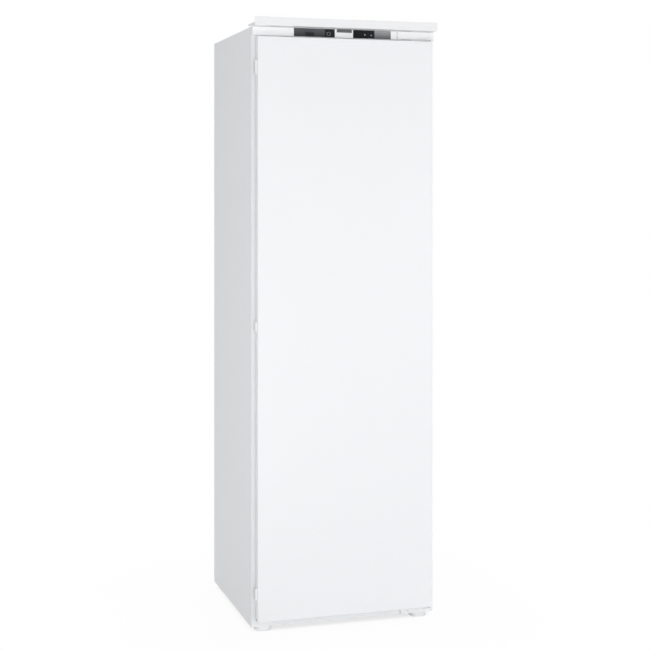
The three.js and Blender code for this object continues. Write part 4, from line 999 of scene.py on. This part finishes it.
def fan_blade():
    """One blade: a flat grid bent to its twist, chord and camber, then given thickness."""
    bpy.ops.mesh.primitive_grid_add(x_subdivisions=12, y_subdivisions=22, size=1)
    blade = named("blade")
    for point in blade.data.vertices:
        chordwise, outward = point.co.x * 2, point.co.y + 0.5
        radius = BLADE_ROOT + (BLADE_TIP - BLADE_ROOT) * outward
        tip = max(outward - TIP_FROM, 0) / (1 - TIP_FROM)
        chord = (ROOT_CHORD + CHORD_GAIN * outward) / 2 * (1 - TIP_NARROWING * tip ** 4) ** 0.5
        pitch = (ROOT_PITCH - PITCH_LOSS * outward) * pi
        sideways = chordwise * chord * cos(pitch)
        depth = chordwise * chord * sin(pitch) + BLADE_CAMBER * (chordwise ** 2 - 0.4)
        angle = sideways / radius
        point.co = at(radius * cos(angle), FAN_Y + depth, FAN_Z + radius * sin(angle))
    apply_modifier(blade, "SOLIDIFY", thickness=BLADE_THICKNESS * MM, offset=0)
    return soften(blade, 0.4, 2, 50)


def add_fan():
    """Twisted blades round a domed hub, and the motor behind them."""
    centre = (0, 0, FAN_Z)
    hub = turned("hub", "y", HUB_STEPS, centre, sides=48)
    blade = fan_blade()
    there, back = Matrix.Translation(at(0, 0, FAN_Z)), Matrix.Translation(at(0, 0, -FAN_Z))
    blades = []
    for number in range(BLADE_COUNT):
        turn = there @ Matrix.Rotation(2 * pi * number / BLADE_COUNT, 4, "Y") @ back
        blades.append(copied(blade, f"blade_{number}", turn=turn))
    bpy.data.objects.remove(blade)
    impeller = joined("fan_impeller_moulding", [hub, *blades])
    dress(impeller, "black_plastic", ["fan_impeller"], FAN_PLASTIC, "fan")
    motor = turned("fan_motor_case", "y", MOTOR_STEPS, centre, sides=64)
    dress(motor, "black_steel", ["fan_motor"])
    nut = turned("nut", "y", [(3.4, 174.3), (3.4, 172.6), (2.6, 172.1)], sides=6)
    turns = [(quarter + 0.5) * pi / 2 for quarter in range(4)]
    places = [(NUT_CIRCLE * cos(turn), 0, FAN_Z + NUT_CIRCLE * sin(turn)) for turn in turns]
    dress(copies(nut, "fan_motor_nuts", places), "zinc_steel")


# Compressor bay: the sealed compressor on rubber feet, its tubes and its cable

COMPRESSOR_X, COMPRESSOR_Y = 95, COIL_Y
SHELL_STEPS = [
    (44, 43), (58, 44.4), (68, 48.6), (75.5, 55.6), (79.4, 64), (80, 72), (80, 110.4),
    (82.6, 111), (83, 112.4), (83, 118.6), (82.6, 120), (80, 120.6), (80, 148), (79.2, 157),
    (76, 165.6), (69.5, 174), (60, 180.4), (48, 185), (34, 187.5), (16, 188),
]
FOOT_PLATE_HALF_X, FOOT_PLATE_HALF_Y, FOOT_PLATE_TALL = 86.7, 66.7, (24.6, 46)
FOOT_PLATE_RIM, FOOT_PLATE_DISH = 2.2, 18
STUD_HALF_X, STUD_HALF_Y = 75, 55
GRID_Y, RISER_X, DRIER_X, GRID_FOOT, LINE_RADIUS = 262.5, 228, -200, 240.2, 2.5
DISCHARGE_Z, SUCTION_Z = 147, 137
DRIER_STEPS = [
    (2.5, 169.8), (2.6, 175), (4.2, 177.4), (8.2, 180.8), (9, 183.6),
    (9, 226), (8.2, 228.8), (4.2, 232.2), (2.6, 234.6), (2.5, 239.6),
]
CABLE_RADIUS, CABLE_BEND = 3.2, 14
CABLE_Y, CABLE_Z, CABLE_END_X = 150, 19.6, -235


def add_compressor():
    """Two drawn shells welded at a flange, on a dished foot plate with four grommets."""
    shell = turned("shell", "z", SHELL_STEPS, (COMPRESSOR_X, COMPRESSOR_Y, 0), sides=96)
    plate = block(
        "plate",
        (COMPRESSOR_X - FOOT_PLATE_HALF_X, COMPRESSOR_X + FOOT_PLATE_HALF_X),
        (COMPRESSOR_Y - FOOT_PLATE_HALF_Y, COMPRESSOR_Y + FOOT_PLATE_HALF_Y),
        FOOT_PLATE_TALL,
    )
    bevel(plate, 11.5, 6, along(Z))
    with editing(plate):
        pick(plate, "FACE", facing(Z))
        bpy.ops.mesh.inset(thickness=FOOT_PLATE_RIM * MM)
        bpy.ops.transform.translate(value=at(0, 0, -FOOT_PLATE_DISH))
    soften(plate, 0.5, 2, 50)
    stud = turned("stud", "z", [(5.4, 27.6), (5.4, 33.4), (4.6, 34)], sides=6)
    sides = [(x, y) for x in (-STUD_HALF_X, STUD_HALF_X) for y in (-STUD_HALF_Y, STUD_HALF_Y)]
    corners = [(COMPRESSOR_X + x, COMPRESSOR_Y + y, 0) for x, y in sides]
    studs = copies(stud, "studs", corners)
    route = [(146, 96, 128), (160, 82, 128), (160, 82, 172)]
    seam_tube = pipe("seam tube", 3, route, bend=9)
    crimp = block("crimp", (155.5, 164.5), (81, 83), (171, 181))
    bevel(crimp, 0.8, 3)
    steel = joined("compressor_body", [shell, plate, studs])
    dress(steel, "black_steel", ["compressor"])
    dress(joined("process_tube", [seam_tube, crimp]), "copper")
    steps = [(8, 16.4), (9, 17.2), (9, 20), (6.4, 21), (6.4, 23), (9, 24), (9, 27), (7, 28.2)]
    grommet = turned("grommet", "z", steps, sides=28)
    dress(copies(grommet, "compressor_grommets", corners), "black_plastic")


def add_bay_pieces():
    """The pipes, the drier and the round cable along the tray."""
    route = [
        (175.4, COIL_Y, DISCHARGE_Z),
        (RISER_X, COIL_Y, DISCHARGE_Z),
        (RISER_X, GRID_Y, DISCHARGE_Z),
        (RISER_X, GRID_Y, 239.7),
    ]
    discharge = pipe("discharge_tube", LINE_RADIUS, route, bend=14)
    dress(discharge, "copper", ["discharge_pipe"])
    route = [(14.6, COIL_Y, SUCTION_Z), (SUCTION_X, COIL_Y, SUCTION_Z), (SUCTION_X, COIL_Y, 305.2)]
    suction = pipe("suction_tube", COIL_TUBE, route, bend=8)
    dress(suction, "copper", ["suction_pipe"])
    drier = turned("filter_drier_shell", "z", DRIER_STEPS, (DRIER_X, GRID_Y, 0), sides=32)
    dress(drier, "copper", ["filter_drier"])
    start, end = (0, CABLE_Y, 67), (CABLE_END_X, 246.5, CABLE_Z)
    route = [start, (0, CABLE_Y, CABLE_Z), (CABLE_END_X, CABLE_Y, CABLE_Z), end]
    cable = pipe("bay_cable", CABLE_RADIUS, route, CABLE_BEND)
    dress(cable, "black_plastic", material=CABLE_BLACK)
    clip = block("clip", (-4, 4), (CABLE_Y - 4.6, CABLE_Y + 4.6), (16.1, 24))
    bevel(clip, 2.4, 4, along(X))
    soften(clip, 0.4)
    clips = copies(clip, "cable_clips", [(x, 0, 0) for x in (-70, -170)])
    dress(clips, "white_plastic")


# Condenser: a serpentine of steel tube between two layers of wires, on four stand-offs

GRID_PASSES, TOP_PASS, PASS_DROP, GRID_REACH = 11, 1500, 117, 200
WIRE_COUNT, WIRE_REACH, WIRE_LAYERS = 54, 172, (259.4, 265.0)
STAND_ROOT, STAND_HALF, STAND_FLANGE, STAND_FLANGE_THICKNESS = 237, 5, 4, 1.6


def add_condenser():
    """The black wire-on-tube condenser behind the rear panel."""
    corners = [(RISER_X, GRID_FOOT), (RISER_X, TOP_PASS), (-GRID_REACH, TOP_PASS)]
    for number in range(1, GRID_PASSES):
        start = -GRID_REACH if number % 2 else GRID_REACH
        level = TOP_PASS - PASS_DROP * number
        corners += [(start, level), (-start, level)]
    corners.append((DRIER_X, GRID_FOOT))
    route = [(x, GRID_Y, z) for x, z in corners]
    serpentine = pipe("serpentine", LINE_RADIUS, route, bend=18, sides=12, steps=6)
    wire = turned("wire", "z", [(0.4, 310.5), (0.8, 311.2), (0.8, 1518.8), (0.4, 1519.5)], sides=6)
    columns = evenly(WIRE_COUNT, -WIRE_REACH, WIRE_REACH)
    wires = copies(wire, "wires", [(x, y, 0) for y in WIRE_LAYERS for x in columns])
    across = (-STAND_HALF, STAND_HALF)
    stand = block("stand", across, (STAND_ROOT, GRID_Y), across)
    with editing(stand):
        pick(stand, "FACE", facing(-Y))
        bpy.ops.mesh.inset(thickness=-STAND_FLANGE * MM)
        extrude(at(0, STAND_FLANGE_THICKNESS, 0))
    soften(stand, 0.6)
    stands = copies(stand, "stands", [(x, 0, z) for x in (-120, 120) for z in (447, 1383)])
    grid = joined("condenser_grid", [serpentine, wires, stands])
    dress(grid, "black_steel", ["condenser"])


for node_name, edge_width in EDGE_ROUNDING.items():
    finish_piece(node_name, edge_width)
add_screws()
add_fascia()
add_keys()
add_trim()
add_door_skin()
add_door_pieces()
add_drawers()
add_evaporator()
add_heater()
add_fan()
add_compressor()
add_bay_pieces()
add_condenser()

# Camera, light and ground, in metres

WHITE = (1, 1, 1, 1)
PALE_SKY = (0.985, 0.99, 1.0, 1)
GROUND_GREY = (0.9, 0.9, 0.9, 1)

# The ground that the cabinet covers, and how far from it the near and the far shadow fade

FOOTPRINT_CENTRE, FOOTPRINT_HALF = (0, 0.0215, 0), (0.25, 0.225, 0)
NEAR_REACH, FAR_REACH = 0.035, 0.6

# Each lamp's name, place, target, width and power

LAMPS = [
    ("left light", (-3.0, -1.2, 1.0), (-0.2, 0, 0.9), 2.0, 20.5),
    ("front light", (-2.4, -10.5, 1.0), (0, -0.2, 0.9), 4.0, 355),
    ("right light", (3.0, -4.5, 1.0), (0, -0.2, 0.9), 2.4, 56),
    ("low light", (-0.5, -2.6, 0.06), (0, -0.25, 1.7), 1.2, 16),
    ("top light", (1.2, 1.4, 5.5), (0, 0, 1.7), 2.0, 60),
    ("rear light", (3.0, 8.0, 1.6), (0, 0.2, 0.9), 4.0, 120),
]


def set_up(name, data, place, rotation):
    """Puts a camera or a lamp in the scene."""
    holder = bpy.data.objects.new(name, data)
    holder.location = place
    holder.rotation_euler = rotation
    bpy.context.scene.collection.objects.link(holder)
    return holder


def add_camera():
    """The photograph's level camera, with its picture shifted down."""
    camera = bpy.data.cameras.new("camera")
    camera.sensor_width = SENSOR
    camera.lens = SENSOR * FOCAL_PIXELS / IMAGE_SIDE
    camera.shift_x = (IMAGE_SIDE / 2 - OPTICAL_CENTRE[0]) / IMAGE_SIDE
    camera.shift_y = (OPTICAL_CENTRE[1] - IMAGE_SIDE / 2) / IMAGE_SIDE
    rotation = (pi / 2, 0, -radians(CAMERA_YAW))
    bpy.context.scene.camera = set_up("camera", camera, CAMERA_PLACE, rotation)


def add_lamp(name, place, target, size, power):
    """A square soft box that looks at a target."""
    lamp = bpy.data.lights.new(name, "AREA")
    lamp.size = size
    lamp.energy = power
    aim = Vector(target) - Vector(place)
    set_up(name, lamp, place, aim.to_track_quat("-Z", "Y").to_euler())


def seen_directly(tree):
    """A value of 1 for rays that show the background: from the camera, a gloss or through glass."""
    rays = add_node(tree, "ShaderNodeLightPath").outputs
    shown = rays["Is Camera Ray"]
    for ray in ("Is Glossy Ray", "Is Transmission Ray"):
        shown = calculate(tree, "MAXIMUM", shown, rays[ray])
    return shown


def add_world(strength):
    """An even pale surround that the camera sees as white."""
    world = bpy.data.worlds.new("studio")
    bpy.context.scene.world = world
    tree = cleared_tree(world)
    around = add_node(tree, "ShaderNodeBackground", {"Color": PALE_SKY, "Strength": strength})
    seen = add_node(tree, "ShaderNodeBackground", {"Color": WHITE, "Strength": 1.0})
    inputs = {0: seen_directly(tree), 1: around.outputs[0], 2: seen.outputs[0]}
    mix = add_node(tree, "ShaderNodeMixShader", inputs)
    add_node(tree, "ShaderNodeOutputWorld", {"Surface": mix.outputs[0]})


def add_floor(side, near_shadow, far_shadow, bounce):
    """A white ground that shows as background, keeps a share of the shadow and glows a little."""
    bpy.ops.mesh.primitive_plane_add(size=side)
    floor = bpy.context.object
    floor.name = "floor"
    material = bpy.data.materials.new("white ground")
    tree = cleared_tree(material)

    def vector_step(operation, value, other=(0, 0, 0)):
        made = add_node(tree, "ShaderNodeVectorMath", {0: value, 1: other}, operation=operation)
        return made.outputs["Value" if operation == "LENGTH" else "Vector"]

    def fade(value, reach, share):
        """Keeps a share of the shadow at the cabinet, and none of it from the reach on."""
        inputs = {"Value": value, "From Max": reach, "To Min": 1 - share, "To Max": 1.0}
        made = add_node(tree, "ShaderNodeMapRange", inputs, interpolation_type="SMOOTHSTEP")
        return made.outputs[0]

    place = add_node(tree, "ShaderNodeTexCoord").outputs["Object"]
    from_centre = vector_step("ABSOLUTE", vector_step("SUBTRACT", place, FOOTPRINT_CENTRE))
    outside = vector_step("MAXIMUM", vector_step("SUBTRACT", from_centre, FOOTPRINT_HALF))
    distance = vector_step("LENGTH", outside)
    near, far = fade(distance, NEAR_REACH, near_shadow), fade(distance, FAR_REACH, far_shadow)
    matt = add_node(tree, "ShaderNodeBsdfDiffuse", {"Color": GROUND_GREY})
    upward = add_node(tree, "ShaderNodeEmission", {"Strength": bounce})
    lit = add_node(tree, "ShaderNodeAddShader", {0: matt.outputs[0], 1: upward.outputs[0]})
    glow = add_node(tree, "ShaderNodeEmission", {"Color": WHITE, "Strength": 1.0})
    faded = calculate(tree, "MULTIPLY", near, far)
    shown = calculate(tree, "MULTIPLY", faded, seen_directly(tree))
    inputs = {0: shown, 1: lit.outputs[0], 2: glow.outputs[0]}
    mix = add_node(tree, "ShaderNodeMixShader", inputs)
    add_node(tree, "ShaderNodeOutputMaterial", {"Surface": mix.outputs[0]})
    floor.data.materials.append(material)


def add_studio():
    """The pale surround, the soft boxes and the ground."""
    bpy.context.scene.view_settings.view_transform = "Standard"
    add_world(strength=0.355)
    for name, place, target, size, power in LAMPS:
        add_lamp(name, place, target, size, power)
    add_floor(side=40, near_shadow=0.3, far_shadow=0.04, bounce=0.05)


add_camera()
add_studio()
finish_frame_nodes()
